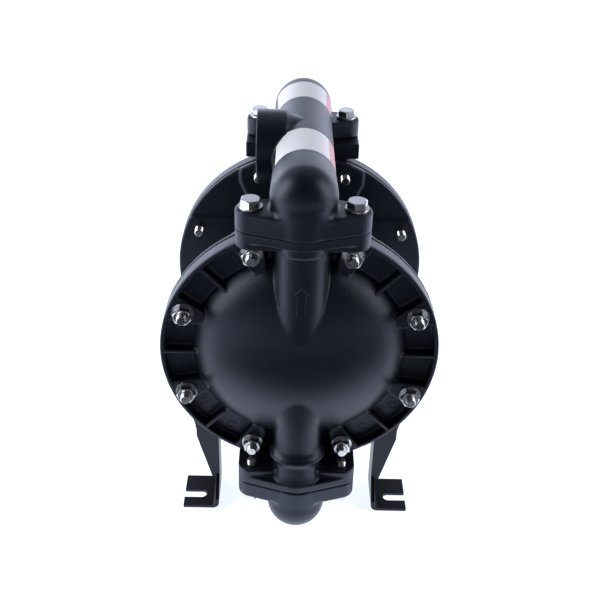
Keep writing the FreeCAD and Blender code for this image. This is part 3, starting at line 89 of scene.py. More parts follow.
def make_edge_group():
    """Edges softened by a radius, and a mask of where they are."""
    group, source, sink = new_group(
        "soft edges",
        [("Radius", "NodeSocketFloat", 0.5 * MM)],
        [("Normal", "NodeSocketVector"), ("Edge", "NodeSocketFloat")])
    bevel = add_node(group, "ShaderNodeBevel", samples=6)
    surface = add_node(group, "ShaderNodeNewGeometry")
    facing = add_node(group, "ShaderNodeVectorMath", operation="DOT_PRODUCT")
    mask = add_node(group, "ShaderNodeMapRange",
                    {"From Min": 0.995, "From Max": 0.85, "To Min": 0.0, "To Max": 1.0})
    group.links.new(source.outputs["Radius"], bevel.inputs["Radius"])
    group.links.new(bevel.outputs["Normal"], facing.inputs[0])
    group.links.new(surface.outputs["Normal"], facing.inputs[1])
    group.links.new(facing.outputs["Value"], mask.inputs["Value"])
    group.links.new(bevel.outputs["Normal"], sink.inputs["Normal"])
    group.links.new(mask.outputs["Result"], sink.inputs["Edge"])
    return group


grain_group = make_grain_group()
edge_group = make_edge_group()


def new_finish(name, colour, edge_wear_and_highlight, roughness, spread, grain, depth, radius, **shader_values):
    """A finish with grain, softened edges in a second colour as wear and a painted highlight, and uneven
    roughness.
    """
    material = bpy.data.materials.new(name)
    material.use_nodes = True
    tree = material.node_tree
    shader = tree.nodes["Principled BSDF"]
    for title, value in shader_values.items():
        shader.inputs[title.replace("_", " ")].default_value = value
    place = add_node(tree, "ShaderNodeTexCoord")
    texture = add_node(tree, "ShaderNodeGroup", node_tree=grain_group)
    texture.inputs["Grain"].default_value = grain
    edges = add_node(tree, "ShaderNodeGroup", node_tree=edge_group)
    edges.inputs["Radius"].default_value = radius
    # The edges take the second colour: real wear, and a painted highlight along every edge.
    tint = add_node(tree, "ShaderNodeMix", data_type="RGBA")
    tint.inputs["A"].default_value = (*colour, 1.0)
    tint.inputs["B"].default_value = (*edge_wear_and_highlight, 1.0)
    shine = add_node(tree, "ShaderNodeMapRange", {"To Min": roughness - spread, "To Max": roughness + spread,
                                                  "From Min": 0.3, "From Max": 0.7})
    bump = add_node(tree, "ShaderNodeBump", {"Strength": 1.0, "Distance": depth})
    tree.links.new(place.outputs["Object"], texture.inputs["Vector"])
    tree.links.new(edges.outputs["Edge"], tint.inputs["Factor"])
    tree.links.new(texture.outputs["Tone"], shine.inputs["Value"])
    tree.links.new(texture.outputs["Height"], bump.inputs["Height"])
    tree.links.new(edges.outputs["Normal"], bump.inputs["Normal"])
    tree.links.new(tint.outputs["Result"], shader.inputs["Base Color"])
    tree.links.new(shine.outputs["Result"], shader.inputs["Roughness"])
    tree.links.new(bump.outputs["Normal"], shader.inputs["Normal"])
    return material


def dress(material, *names):
    """Give a finish to whole nodes of the frame."""
    for name in names:
        for place in cad[name].material_slots:
            place.material = material


ENDS = ("front", "rear")
COAT_TINT = (0.72, 0.80, 1.0, 1.0)
powder_coat = new_finish("satin black powder coat", (0.0062, 0.0078, 0.0125), (0.008, 0.010, 0.015),
                         roughness=0.32, spread=0.03, grain=1200.0, depth=0.16 * MM, radius=0.7 * MM,
                         Specular_Tint=COAT_TINT)
dress(powder_coat, "center_body", "valve_body", "valve_end_caps")

# Manifolds
# The outlet and the inlet manifold are one casting each: a tube between two elbows, with a
# two-bolt flange under each. Wide blends of the pattern run from each elbow into its flange.
AXIS_HEIGHT = (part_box("fluid_cap_front")[0].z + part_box("fluid_cap_front")[1].z) / 2
MANIFOLDS = (("outlet", 1), ("inlet", -1))
PORT_OFFSET = 89 * MM
TUBE_HEIGHT = 141 * MM
TUBE_RADIUS = 23 * MM
TUBE_SKIN = 0.3 * MM
ELBOW_RADIUS = 24 * MM
FLANGE_TOP = 132.2 * MM
JOINT_HEIGHT = 116.7 * MM
SWELL = (50 * MM, 89 * MM)
BLEND_LEVEL = FLANGE_TOP - 1 * MM
BLEND_HEIGHTS = (3 * MM, 9 * MM)
BLEND_WIDTHS = (2.5 * MM, 5 * MM)
FRONT_DEPTHS = (12 * MM, 17 * MM)
FRONT_WIDTHS = (16 * MM, 22 * MM)
JOINT_FADE = (0.5 * MM, 3.5 * MM)
PORT_FACE = 36 * MM
PORT_DEPTH = 22 * MM
PIPE_CORE = 15.15 * MM
PIPE_ROOT = 16.65 * MM
PORT_FLARE = 21 * MM
CAST_VOXEL = 0.85 * MM
MERGE_REACH = 0.001 * MM
TRIANGLE_LIMIT = 180000


def ease(value, low, high):
    """0 below low, 1 above high and a smooth step between them."""
    share = min(1.0, max(0.0, (value - low) / (high - low)))
    return share * share * (3 - 2 * share)


def swollen_radius(y):
    """The radius of a manifold's tube, which grows to the elbow's near each end."""
    return TUBE_RADIUS + (ELBOW_RADIUS - TUBE_RADIUS) * ease(abs(y), *SWELL)


def new_object(name, data):
    """An object at the origin, linked to the scene."""
    item = bpy.data.objects.new(name, data)
    bpy.context.scene.collection.objects.link(item)
    return item


def pattern_object(name, mesh):
    """An object that only serves as the pattern of another piece."""
    bmesh.ops.recalc_face_normals(mesh, faces=mesh.faces)
    data = bpy.data.meshes.new(name)
    mesh.to_mesh(data)
    mesh.free()
    return new_object(name, data)


def keep_result(name, holder):
    """The mesh that an object's modifiers make, kept as a plain mesh, without the object."""
    bpy.context.view_layer.update()
    data = bpy.data.meshes.new_from_object(holder.evaluated_get(bpy.context.evaluated_depsgraph_get()))
    data.name = name
    bpy.data.objects.remove(holder)
    return data


def cast_copy(name, node, voxel):
    """A copy of a node as an even, fine mesh that can be blended."""
    mesh = bmesh.new()
    mesh.from_mesh(cad[node].data)
    bmesh.ops.remove_doubles(mesh, verts=mesh.verts, dist=MERGE_REACH)
    holder = pattern_object("holder", mesh)
    skin = holder.modifiers.new("skin", "REMESH")
    skin.mode = "VOXEL"
    skin.voxel_size = voxel
    return keep_result(name, holder)


def blend_casting(name, data, weights, edge_steps, blend_steps):
    """Soften all the edges of a casting, blend it where it is weighted, and thin its mesh."""
    holder = new_object("holder", data)
    group = holder.vertex_groups.new(name="blend")
    for index, weight in weights.items():
        group.add([index], weight, "REPLACE")
    for title, steps, chosen in (("edges", edge_steps, ""), ("blends", blend_steps, "blend")):
        smooth = holder.modifiers.new(title, "SMOOTH")
        smooth.factor = 0.5
        smooth.iterations = steps
        smooth.vertex_group = chosen
    triangles = 2 * len(data.polygons)
    if triangles > TRIANGLE_LIMIT:
        thin = holder.modifiers.new("thin", "DECIMATE")
        thin.ratio = TRIANGLE_LIMIT / triangles
    data = keep_result(name, holder)
    data.materials.clear()
    data.materials.append(powder_coat)
    data.shade_smooth()
    return data


def place_casting(name, data, node):
    """Put a casting in the place of its node."""
    casting = new_object(name, data)
    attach(casting, "pump_frame")
    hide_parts(node)


def shape_tube(vertex, x, y, z, up):
    """Swell the tube towards its elbows, and widen its port to the root of the pipe thread."""
    from_tube = math.hypot(x, z - TUBE_HEIGHT)
    swollen = swollen_radius(y)
    if y < PORT_OFFSET and TUBE_RADIUS - TUBE_SKIN < from_tube < swollen and z > FLANGE_TOP:
        vertex.co.x *= swollen / from_tube
        vertex.co.z = AXIS_HEIGHT + up * (TUBE_HEIGHT + (z - TUBE_HEIGHT) * swollen / from_tube)
    from_port = math.hypot(y, z - TUBE_HEIGHT)
    if x < PORT_DEPTH - PORT_FACE and from_port < PORT_FLARE:
        widened = 1 + (PIPE_ROOT - PIPE_CORE) * (1 - ease(from_port, PIPE_CORE, PORT_FLARE)) / from_port
        vertex.co.y *= widened
        vertex.co.z = AXIS_HEIGHT + up * (TUBE_HEIGHT + (z - TUBE_HEIGHT) * widened)


def junction_weight(x, y, z):
    """How much a point of a manifold is blended, by its place between elbow and flange."""
    level = 1 - ease(abs(z - BLEND_LEVEL), *BLEND_HEIGHTS)
    ring = 1 - ease(abs(math.hypot(x, y - PORT_OFFSET) - ELBOW_RADIUS), *BLEND_WIDTHS)
    front = ease(y - PORT_OFFSET, *FRONT_DEPTHS) * (1 - ease(abs(x), *FRONT_WIDTHS))
    front *= 1 - ease(z, FLANGE_TOP, TUBE_HEIGHT)
    return ease(z - JOINT_HEIGHT, *JOINT_FADE) * max(level * ring, front)


for kind, up in MANIFOLDS:
    data = cast_copy(f"{kind}_manifold_casting", f"{kind}_manifold", CAST_VOXEL)
    weights = {}
    for vertex in data.vertices:
        x, y, z = vertex.co.x, abs(vertex.co.y), up * (vertex.co.z - AXIS_HEIGHT)
        shape_tube(vertex, x, y, z, up)
        weight = junction_weight(x, y, z)
        if weight > 0:
            weights[vertex.index] = weight
    data = blend_casting(f"{kind}_manifold_casting", data, weights, edge_steps=2, blend_steps=45)
    place_casting(f"{kind}_manifold_casting", data, f"{kind}_manifold")

# Fluid caps
# Each fluid cap is one casting: a ribbed rim, a dome with a round shoulder, and a flow channel
# with a flange at each end. The pattern's fillets leave no sharp corner in it.
CAP_VOXEL = 0.8 * MM
RIM_FACE = 78.5 * MM
RIM_INNER = 105.5 * MM
RIB_HALF = 1.6 * MM
LAND_HALF = 5.2 * MM
EIGHTH = math.radians(45)
POCKET_FLOOR = 70 * MM
DOME_RADIUS = 129.71 * MM
DOME_CENTRE = -20.71 * MM
DOME_EDGE = 80.5 * MM
DOME_EDGE_LEVEL = 81 * MM
DOME_FOOT = 85 * MM
SHOULDER_START = 58 * MM
SHOULDER_ZONE = (SHOULDER_START, DOME_FOOT + 0.5 * MM)
SHOULDER_LOWEST = POCKET_FLOOR - 0.3 * MM
SHOULDER_SKIN = 1.2 * MM
SHOULDER_BLEND_START = DOME_EDGE - 8 * MM
SHOULDER_BLEND = 0.7
POCKET_LEVELS = (POCKET_FLOOR - 1 * MM, POCKET_FLOOR + 4 * MM)
POCKET_RADII = (DOME_EDGE, RIM_INNER + 1 * MM)
POCKET_BLEND = 0.35
CHANNEL_BACK = 106 * MM
OUTLET_RADIUS = 19.5 * MM
INLET_RADIUS = 17 * MM
CHANNEL_FILLET = (1.5 * MM, 4 * MM)
CHAMBER_TOP = 98 * MM
CHAMBER_RADIUS = 19.5 * MM
CHAMBER_CORE = 1 * MM
CHAMBER_FRONT = (0.3, 0.75)
CHAMBER_BLEND = 0.6
LEDGE_LEVEL = 109.2 * MM
LEDGE_INNER = 17.4 * MM
LEDGE_OUTER = 22.3 * MM
LEDGE_SKIN = 0.3 * MM
CHAMBER_SKIN = 0.5 * MM
WALL_LENGTH = math.hypot(CHAMBER_RADIUS - LEDGE_INNER, LEDGE_LEVEL - CHAMBER_TOP)
PROFILE_LENGTH = WALL_LENGTH + LEDGE_OUTER - LEDGE_INNER
RING_LEVEL = 90.2 * MM
RING_REACH = 9 * MM
RING_INSIDE = CHAMBER_RADIUS - 3 * MM
RING_BACK = PORT_OFFSET - 10 * MM
RING_BLEND = 0.5
NECK_SPREAD = 0.094
NECK_HALF = 17.2 * MM
NECK_END = (95 * MM, 100 * MM)
ARCH_SPREAD = 0.30
ARCH_TOP = (14 * MM, 32 * MM)
ARCH_TO_NECK = (36 * MM, 62 * MM)
ARCH_REACH = 34 * MM
ARCH_FOOT = POCKET_FLOOR + 0.5 * MM
FREE_REACH = 22 * MM
FREE_START = (66 * MM, 78 * MM)
RING_SIDE = (17.5 * MM, 22 * MM)
RING_START = (80 * MM, 86 * MM)
ABOVE_DOME = (0.3 * MM, 2.5 * MM)
BEAD_LIFT = 7 * MM
BEAD_RADIUS = 22 * MM
BEAD_SPAN = (80 * MM, 106 * MM)
BEAD_RISE = (82 * MM, 96 * MM)
BEAD_FALL = (97 * MM, 107 * MM)


def dome_level(radius):
    """The height of the cast dome's sphere at a radius."""
    return DOME_CENTRE + math.sqrt(DOME_RADIUS ** 2 - radius ** 2)


def shoulder_level(radius):
    """The height of the dome with its round shoulder at a radius."""
    share = max(0.0, (radius - SHOULDER_START) / (DOME_FOOT - SHOULDER_START))
    return dome_level(radius) - (dome_level(DOME_FOOT) - POCKET_FLOOR) * share ** 3


def across_spoke(x, z, offset):
    """The distance from the nearest of eight spokes."""
    angle = math.atan2(z, x) - offset
    return math.hypot(x, z) * abs(math.sin(angle - EIGHTH * round(angle / EIGHTH)))


def round_shoulder(x, y, z):
    """The new height of a point of the dome's slope, which stays as it is on a rib or a land."""
    radius = math.hypot(x, z)
    fall = (DOME_EDGE_LEVEL - POCKET_FLOOR) / (DOME_FOOT - DOME_EDGE)
    cast = min(dome_level(radius), DOME_EDGE_LEVEL - (radius - DOME_EDGE) * fall)
    if abs(y - cast) >= SHOULDER_SKIN:
        return None
    level = shoulder_level(min(radius, DOME_FOOT))
    if min(across_spoke(x, z, 0) - RIB_HALF, across_spoke(x, z, EIGHTH / 2) - LAND_HALF) < 0:
        level = max(level, min(RIM_FACE, y))
    return min(y, level)


def channel_weight(x, y, z):
    """How much a point is blended, by its distance from the line where a channel meets the dome."""
    radius = math.hypot(x, z)
    channel_radius = OUTLET_RADIUS if z > 0 else INLET_RADIUS
    from_channel = abs(math.hypot(x, y - CHANNEL_BACK + channel_radius) - channel_radius)
    return 1 - ease(max(from_channel, abs(y - shoulder_level(radius))), *CHANNEL_FILLET)


def fill_chamber(vertex, x, y, z):
    """Push the front of the ball chamber's wall out, down to the flange. Tells if it did."""
    from_chamber = math.hypot(x, y - PORT_OFFSET)
    front = ease((y - PORT_OFFSET) / max(from_chamber, CHAMBER_CORE), *CHAMBER_FRONT)
    if front <= 0 or not -LEDGE_LEVEL - LEDGE_SKIN < z < -CHAMBER_TOP or from_chamber >= LEDGE_OUTER:
        return False
    above_ledge = z > -LEDGE_LEVEL + CHAMBER_SKIN
    if from_chamber <= (LEDGE_INNER - CHAMBER_SKIN if above_ledge else LEDGE_INNER):
        return False
    along = (WALL_LENGTH * (-z - CHAMBER_TOP) / (LEDGE_LEVEL - CHAMBER_TOP) if above_ledge
             else WALL_LENGTH + from_chamber - LEDGE_INNER)
    share = along / PROFILE_LENGTH
    reach = CHAMBER_RADIUS + (LEDGE_OUTER - CHAMBER_RADIUS) * share
    stretch = 1 + (reach / from_chamber - 1) * front
    level = z + (-CHAMBER_TOP - (LEDGE_LEVEL - CHAMBER_TOP) * share - z) * front
    vertex.co = (x * stretch, -(PORT_OFFSET + (y - PORT_OFFSET) * stretch), AXIS_HEIGHT + level)
    return True


def widen_inlet(vertex, x, y, z):
    """Widen the inlet channel, most at its arch on the dome, and keep the dome's points on it."""
    radius = math.hypot(x, z)
    side_reach = ARCH_REACH + (FREE_REACH - ARCH_REACH) * ease(-z, *FREE_START)
    spread = ARCH_SPREAD + (NECK_SPREAD - ARCH_SPREAD) * ease(-z, *ARCH_TO_NECK)
    spread *= ease(-z, *ARCH_TOP) * (1 - ease(-z, *NECK_END))
    spread *= 1 - ease(abs(x), NECK_HALF, side_reach)
    spread *= 1 - ease(math.hypot(x, y - PORT_OFFSET), *RING_SIDE) * ease(-z, *RING_START)
    above = -vertex.co.y - shoulder_level(radius)
    vertex.co.x *= 1 + spread
    moved = math.hypot(vertex.co.x, z)
    if radius < DOME_FOOT and moved < DOME_FOOT:
        sink = shoulder_level(moved) - shoulder_level(radius)
        vertex.co.y -= sink * (1 - ease(above, *ABOVE_DOME))


data = cast_copy("fluid_cap_casting", "fluid_cap_front", CAP_VOXEL)
weights = {}
for vertex in data.vertices:
    x, y, z = vertex.co.x, -vertex.co.y, vertex.co.z - AXIS_HEIGHT
    radius = math.hypot(x, z)
    weight = 0.0
    if SHOULDER_ZONE[0] < radius < SHOULDER_ZONE[1] and y > SHOULDER_LOWEST:
        level = round_shoulder(x, y, z)
        if level is not None:
            vertex.co.y = -level
            y = -vertex.co.y
            weight = SHOULDER_BLEND if radius > SHOULDER_BLEND_START else 0.0
    if POCKET_LEVELS[0] < y < POCKET_LEVELS[1] and POCKET_RADII[0] < radius < POCKET_RADII[1]:
        weight = POCKET_BLEND
    if radius < DOME_FOOT:
        weight = max(weight, channel_weight(x, y, z))
    if fill_chamber(vertex, x, y, z):
        weight = max(weight, CHAMBER_BLEND)
    if abs(z + RING_LEVEL) < RING_REACH and y > RING_BACK and math.hypot(x, y - PORT_OFFSET) > RING_INSIDE:
        weight = max(weight, RING_BLEND)
    if z < -ARCH_TOP[0] and y > ARCH_FOOT and abs(x) < ARCH_REACH:
        widen_inlet(vertex, x, y, z)
    if y > PORT_OFFSET and BEAD_SPAN[0] < -z < BEAD_SPAN[1]:
        bell = ease(-z, *BEAD_RISE) * (1 - ease(-z, *BEAD_FALL))
        vertex.co.z += BEAD_LIFT * bell * min((y - PORT_OFFSET) / BEAD_RADIUS, 1)
    if weight > 0:
        weights[vertex.index] = weight
data = blend_casting("fluid_cap_casting_front", data, weights, edge_steps=1, blend_steps=14)
rear_data = data.copy()
rear_data.transform(Matrix.Rotation(math.pi, 4, "Z"))
place_casting("fluid_cap_casting_front", data, "fluid_cap_front")
place_casting("fluid_cap_casting_rear", rear_data, "fluid_cap_rear")

# Air caps
# Each air cap is a cast disc between its fluid cap and the centre body. Its lands and recesses
# run into each other over fillets.
AIR_CAP_VOXEL = 1.0 * MM
for end in ENDS:
    data = cast_copy(f"air_cap_casting_{end}", f"air_cap_{end}", AIR_CAP_VOXEL)
    data = blend_casting(f"air_cap_casting_{end}", data, {}, edge_steps=4, blend_steps=0)
    place_casting(f"air_cap_casting_{end}", data, f"air_cap_{end}")

# Flow arrows
# A raised arrow is cast on the flow channel of each fluid cap and points to the outlet. It is
# a thin ridge round the outline of the arrow, under the same coat.
ARROW_LOW = 53 * MM
ARROW_LENGTH = 24.5 * MM
ARROW_HEAD = 6.2 * MM
ARROW_HALF_HEAD = 4.6 * MM
ARROW_HALF_SHAFT = 2.9 * MM
ARROW_STEPS = 6
RIDGE_RADIUS = 0.35 * MM
RIDGE_SIDES = 8


def join_rings(mesh, rings, closed=False):
    """Faces between each ring of points and the next, and from the last to the first if closed."""
    for first, second in zip(rings, rings[1:] + rings[:1] if closed else rings[1:]):
        for side in range(len(first)):
            following = (side + 1) % len(first)
            mesh.faces.new((first[side], first[following], second[following], second[side]))


def ridge_round(mesh, points):
    """A round ridge along a closed line of points, added to a mesh."""
    rings = []
    for index, point in enumerate(points):
        along = (points[(index + 1) % len(points)] - points[index - 1]).normalized()
        across = along.cross(Vector((0, 1, 0))).normalized()
        out = across.cross(along)
        ring = []
        for side in range(RIDGE_SIDES):
            turn = 2 * math.pi * side / RIDGE_SIDES
            beside = point + across * math.cos(turn) * RIDGE_RADIUS
            ring.append(mesh.verts.new(beside + out * math.sin(turn) * RIDGE_RADIUS))
        rings.append(ring)
    join_rings(mesh, rings, closed=True)


def finish_mesh(name, mesh, material, body):
    """A finished piece from a mesh in the frame: coated, riding on its body."""
    piece = pattern_object(name, mesh)
    piece.data.materials.append(material)
    piece.data.shade_smooth()
    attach(piece, body)
    return piece


for end, side in (("front", -1), ("rear", 1)):
    top = ARROW_LOW + ARROW_LENGTH
    neck = top - ARROW_HEAD
    outline = [(-ARROW_HALF_SHAFT, ARROW_LOW), (-ARROW_HALF_SHAFT, neck), (-ARROW_HALF_HEAD, neck), (0, top),
               (ARROW_HALF_HEAD, neck), (ARROW_HALF_SHAFT, neck), (ARROW_HALF_SHAFT, ARROW_LOW)]
    points = []
    for (x0, z0), (x1, z1) in zip(outline, outline[1:] + outline[:1]):
        for step in range(ARROW_STEPS):
            x = x0 + (x1 - x0) * step / ARROW_STEPS
            z = z0 + (z1 - z0) * step / ARROW_STEPS
            y = CHANNEL_BACK - OUTLET_RADIUS + math.sqrt(OUTLET_RADIUS ** 2 - x ** 2)
            points.append(Vector((x, side * y, AXIS_HEIGHT + z)))
    arrow = bmesh.new()
    ridge_round(arrow, points)
    finish_mesh(f"flow_arrow_{end}", arrow, powder_coat, "pump_frame")

# Pipe threads of the ports
# The port of each manifold is tapped with a 1 inch parallel pipe thread, eleven turns to the
# inch, and its first and last turns run out.
PIPE_PITCH = 25.4 / 11 * MM
PIPE_SIDES = 48
PIPE_PROFILE = ((-1.0 * MM, 0), (-0.25 * MM, 1), (0.25 * MM, 1), (1.0 * MM, 0))
PIPE_FOOT = PIPE_ROOT + 0.15 * MM
PIPE_START = 1.5 * MM
PIPE_SPAN = PORT_DEPTH - 3.5 * MM
for kind, up in MANIFOLDS:
    thread = bmesh.new()
    count = round(PIPE_SPAN / PIPE_PITCH * PIPE_SIDES)
    rings = []
    for index in range(count + 1):
        angle = 2 * math.pi * index / PIPE_SIDES
        along = PIPE_START - PORT_FACE + PIPE_PITCH * index / PIPE_SIDES
        run_out = min(1, (index + 1) / (PIPE_SIDES / 2), (count + 1 - index) / (PIPE_SIDES / 2))
        ring = []
        for offset, crest in PIPE_PROFILE:
            radius = PIPE_FOOT - crest * run_out * (PIPE_FOOT - PIPE_CORE)
            ring.append(thread.verts.new((along + offset, radius * math.cos(angle),
                                          AXIS_HEIGHT + up * TUBE_HEIGHT + radius * math.sin(angle))))
        rings.append(ring)
    join_rings(thread, rings)
    thread.faces.new(rings[0])
    thread.faces.new(reversed(rings[-1]))
    piece = finish_mesh(f"{kind}_port_thread", thread, powder_coat, "pump_frame")
    piece.data.set_sharp_from_angle(angle=math.radians(30))

# Legs
# The four legs are laser-cut from 3 mm sheet steel, bent twice and powder coated like the
# castings. The sheet is smoother than a casting, so its coat shows less grain.
sheet_coat = new_finish("satin black on sheet steel", (0.0025, 0.0028, 0.0038), (0.006, 0.007, 0.009),
                        roughness=0.33, spread=0.03, grain=2000.0, depth=0.04 * MM, radius=0.5 * MM,
                        Specular_Tint=(0.60, 0.64, 0.74, 1.0))
dress(sheet_coat, "leg_front_left", "leg_front_right", "leg_rear_left", "leg_rear_right")

# Studs of the caps
# Eight M8 studs at each end hold a fluid cap, a diaphragm and an air cap together. They are
# bright stainless steel, with a rolled thread at both ends and a chamfer at each tip.
steel = new_finish("bright stainless steel", (0.66, 0.66, 0.66), (0.80, 0.80, 0.80),
                   roughness=0.22, spread=0.07, grain=900.0, depth=0.012 * MM, radius=0.25 * MM, Metallic=1.0)
STUD_RADIUS = 4 * MM
STUD_CIRCLE = 96.8 * MM
STUD_SEEDS = {"front": 11, "rear": 12}
THREAD_PITCH = 1.25 * MM
THREAD_DEPTH = 0.55 * MM
THREAD_SIDES = 24
CHAMFER = 0.8 * MM
THREAD_START = 85.1 * MM
AIR_FACE = 57 * MM
TURNS = {"front": (math.radians(90), 0, 0), "rear": (math.radians(90), 0, math.radians(180))}


def threaded_rod(name, low, high, threads):
    """A closed rod along Z. Each (low, high) of threads is a threaded stretch."""
    stops = {low, low + CHAMFER, high - CHAMFER, high}
    step = THREAD_PITCH / 6
    for begin, end in threads:
        count = max(1, round((end - begin) / step))
        stops.update(begin + (end - begin) * index / count for index in range(count + 1))
    mesh = bmesh.new()
    rings = []
    for z in sorted(stops):
        threaded = any(begin <= z <= end for begin, end in threads)
        inset = max(0.0, CHAMFER - (z - low), CHAMFER - (high - z))
        ring = []
        for side in range(THREAD_SIDES):
            turn = side / THREAD_SIDES
            wave = abs(((z / THREAD_PITCH - turn) % 1.0) * 2 - 1) if threaded else 0.0
            radius = STUD_RADIUS - max(inset, wave * THREAD_DEPTH)
            angle = 2 * math.pi * turn
            ring.append(mesh.verts.new((radius * math.cos(angle), radius * math.sin(angle), z)))
        rings.append(ring)
    join_rings(mesh, rings)
    mesh.faces.new(reversed(rings[0]))
    mesh.faces.new(rings[-1])
    return pattern_object(name, mesh)


def make_pattern_tree(name, kind, output, sizes, values=None, **settings):
    """Copies of a piece on a node's points, each turned at random, then set in their place.

    Each of sizes is a named input of the tree, its kind and the input of the node that it sets.
    """
    tree = bpy.data.node_groups.new(name, "GeometryNodeTree")
    shared = (("Piece", "NodeSocketObject"), ("Seed", "NodeSocketInt"), ("Turn", "NodeSocketVector"),
              ("Place", "NodeSocketVector"), ("Finish", "NodeSocketMaterial"))
    for title, socket_kind, *_ in sizes + shared:
        tree.interface.new_socket(title, in_out="INPUT", socket_type=socket_kind)
    tree.interface.new_socket("Geometry", in_out="OUTPUT", socket_type="NodeSocketGeometry")
    source = add_node(tree, "NodeGroupInput")
    sink = add_node(tree, "NodeGroupOutput")
    points = add_node(tree, kind, values, **settings)
    piece = add_node(tree, "GeometryNodeObjectInfo")
    turn = add_node(tree, "FunctionNodeRandomValue", {"Min": (0, 0, 0), "Max": (0, 0, 2 * math.pi)},
                    data_type="FLOAT_VECTOR")
    copies = add_node(tree, "GeometryNodeInstanceOnPoints")
    real = add_node(tree, "GeometryNodeRealizeInstances")
    place = add_node(tree, "GeometryNodeTransform")
    finish = add_node(tree, "GeometryNodeSetMaterial")
    for title, _, target in sizes:
        tree.links.new(source.outputs[title], points.inputs[target])
    for begin, title, following, target in (
            (source, "Piece", piece, "Object"), (source, "Seed", turn, "Seed"),
            (points, output, copies, "Points"), (piece, "Geometry", copies, "Instance"),
            (turn, "Value", copies, "Rotation"), (copies, "Instances", real, "Geometry"),
            (real, "Geometry", place, "Geometry"), (source, "Turn", place, "Rotation"),
            (source, "Place", place, "Translation"), (place, "Geometry", finish, "Geometry"),
            (source, "Finish", finish, "Material"), (finish, "Geometry", sink, "Geometry")):
        tree.links.new(begin.outputs[title], following.inputs[target])
    return tree


def grow(name, tree, body, slot, replaced, **values):
    """Run a geometry tree with named inputs and keep its result as one piece."""
    holder = new_object("holder", bpy.data.meshes.new("holder"))
    modifier = holder.modifiers.new("nodes", "NODES")
    modifier.node_group = tree
    names = {item.name: item.identifier for item in tree.interface.items_tree if item.in_out == "INPUT"}
    for title, value in values.items():
        modifier[names[title]] = value
    piece = new_object(name, keep_result(name, holder))
    piece.data.shade_smooth()
    piece.data.set_sharp_from_angle(angle=math.radians(28))
    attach(piece, body)
    if replaced:
        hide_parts(replaced)
    return piece


circle_tree = make_pattern_tree(
    "pieces on a bolt circle", "GeometryNodeCurveArc", "Curve",
    (("Count", "NodeSocketInt", "Resolution"), ("Radius", "NodeSocketFloat", "Radius"),
     ("Start", "NodeSocketFloat", "Start Angle"), ("Sweep", "NodeSocketFloat", "Sweep Angle")), mode="RADIUS")


def ring_values(end, piece, seed, count=8, start=EIGHTH / 2, sweep=7 * EIGHTH):
    """The inputs of the circle tree for one end of the pump."""
    return {"Piece": piece, "Count": count, "Radius": STUD_CIRCLE, "Start": start, "Sweep": sweep,
            "Seed": seed, "Turn": TURNS[end], "Place": (0, 0, AXIS_HEIGHT), "Finish": steel}


for end in ENDS:
    low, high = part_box(f"cap_studs_{end}")
    inner, outer = sorted((abs(low.y), abs(high.y)))
    stud = threaded_rod("stud_pattern", inner, outer, [(inner, AIR_FACE), (THREAD_START, outer)])
    grow(f"studs_{end}", circle_tree, "pump_frame", "fastener", f"cap_studs_{end}",
         **ring_values(end, stud, STUD_SEEDS[end]))
    bpy.data.objects.remove(stud)

# Ejector marks
# The die's ejector pins left a low round ridge on each side of a rib, on the floors of the
# fluid cap's pockets.
MARK_RADIUS = 3 * MM
MARK_HEIGHT = 0.3 * MM
MARK_CIRCLE = 95 * MM
MARK_SIDES = 32
MARK_PROFILE = ((MARK_RADIUS - 0.4 * MM, -0.2 * MM), (MARK_RADIUS - 0.15 * MM, MARK_HEIGHT),
                (MARK_RADIUS + 0.15 * MM, MARK_HEIGHT), (MARK_RADIUS + 0.4 * MM, -0.2 * MM))
MARK_STARTS = (-55, -35, 125, 145)
MARK_SEED = 41
mark_mesh = bmesh.new()
rings = []
for index in range(MARK_SIDES):
    angle = 2 * math.pi * index / MARK_SIDES
    rings.append([mark_mesh.verts.new((radius * math.cos(angle), radius * math.sin(angle),
                                       POCKET_FLOOR + rise)) for radius, rise in MARK_PROFILE])
join_rings(mark_mesh, rings, closed=True)
mark = pattern_object("ejector_mark_pattern", mark_mesh)
for end in ENDS:
    for index, first_angle in enumerate(MARK_STARTS):
        values = ring_values(end, mark, MARK_SEED + index, 3, math.radians(first_angle), 2 * EIGHTH)
        values.update(Radius=MARK_CIRCLE, Finish=powder_coat)
        grow(f"ejector_marks_{end}_{index + 1}", circle_tree, "pump_frame", "casting", None, **values)
bpy.data.objects.remove(mark)

# Nuts and washers of the caps
# Plain M8 hexagon nuts, chamfered on both faces, sit on flat washers on the lands of each
# fluid cap. They are bright stainless steel too, and each one stopped at its own angle.
HEX_SIDES = 48
HEX_FLATS = 13 * MM
HEX_CHAMFER = math.radians(28)
HEX_ROUND = 0.95
SIXTH = math.radians(60)
NUT_BORE = STUD_RADIUS + 0.05 * MM
NUT_SEEDS = {"front": 21, "rear": 22}
BORE_CHAMFER = 0.5 * MM


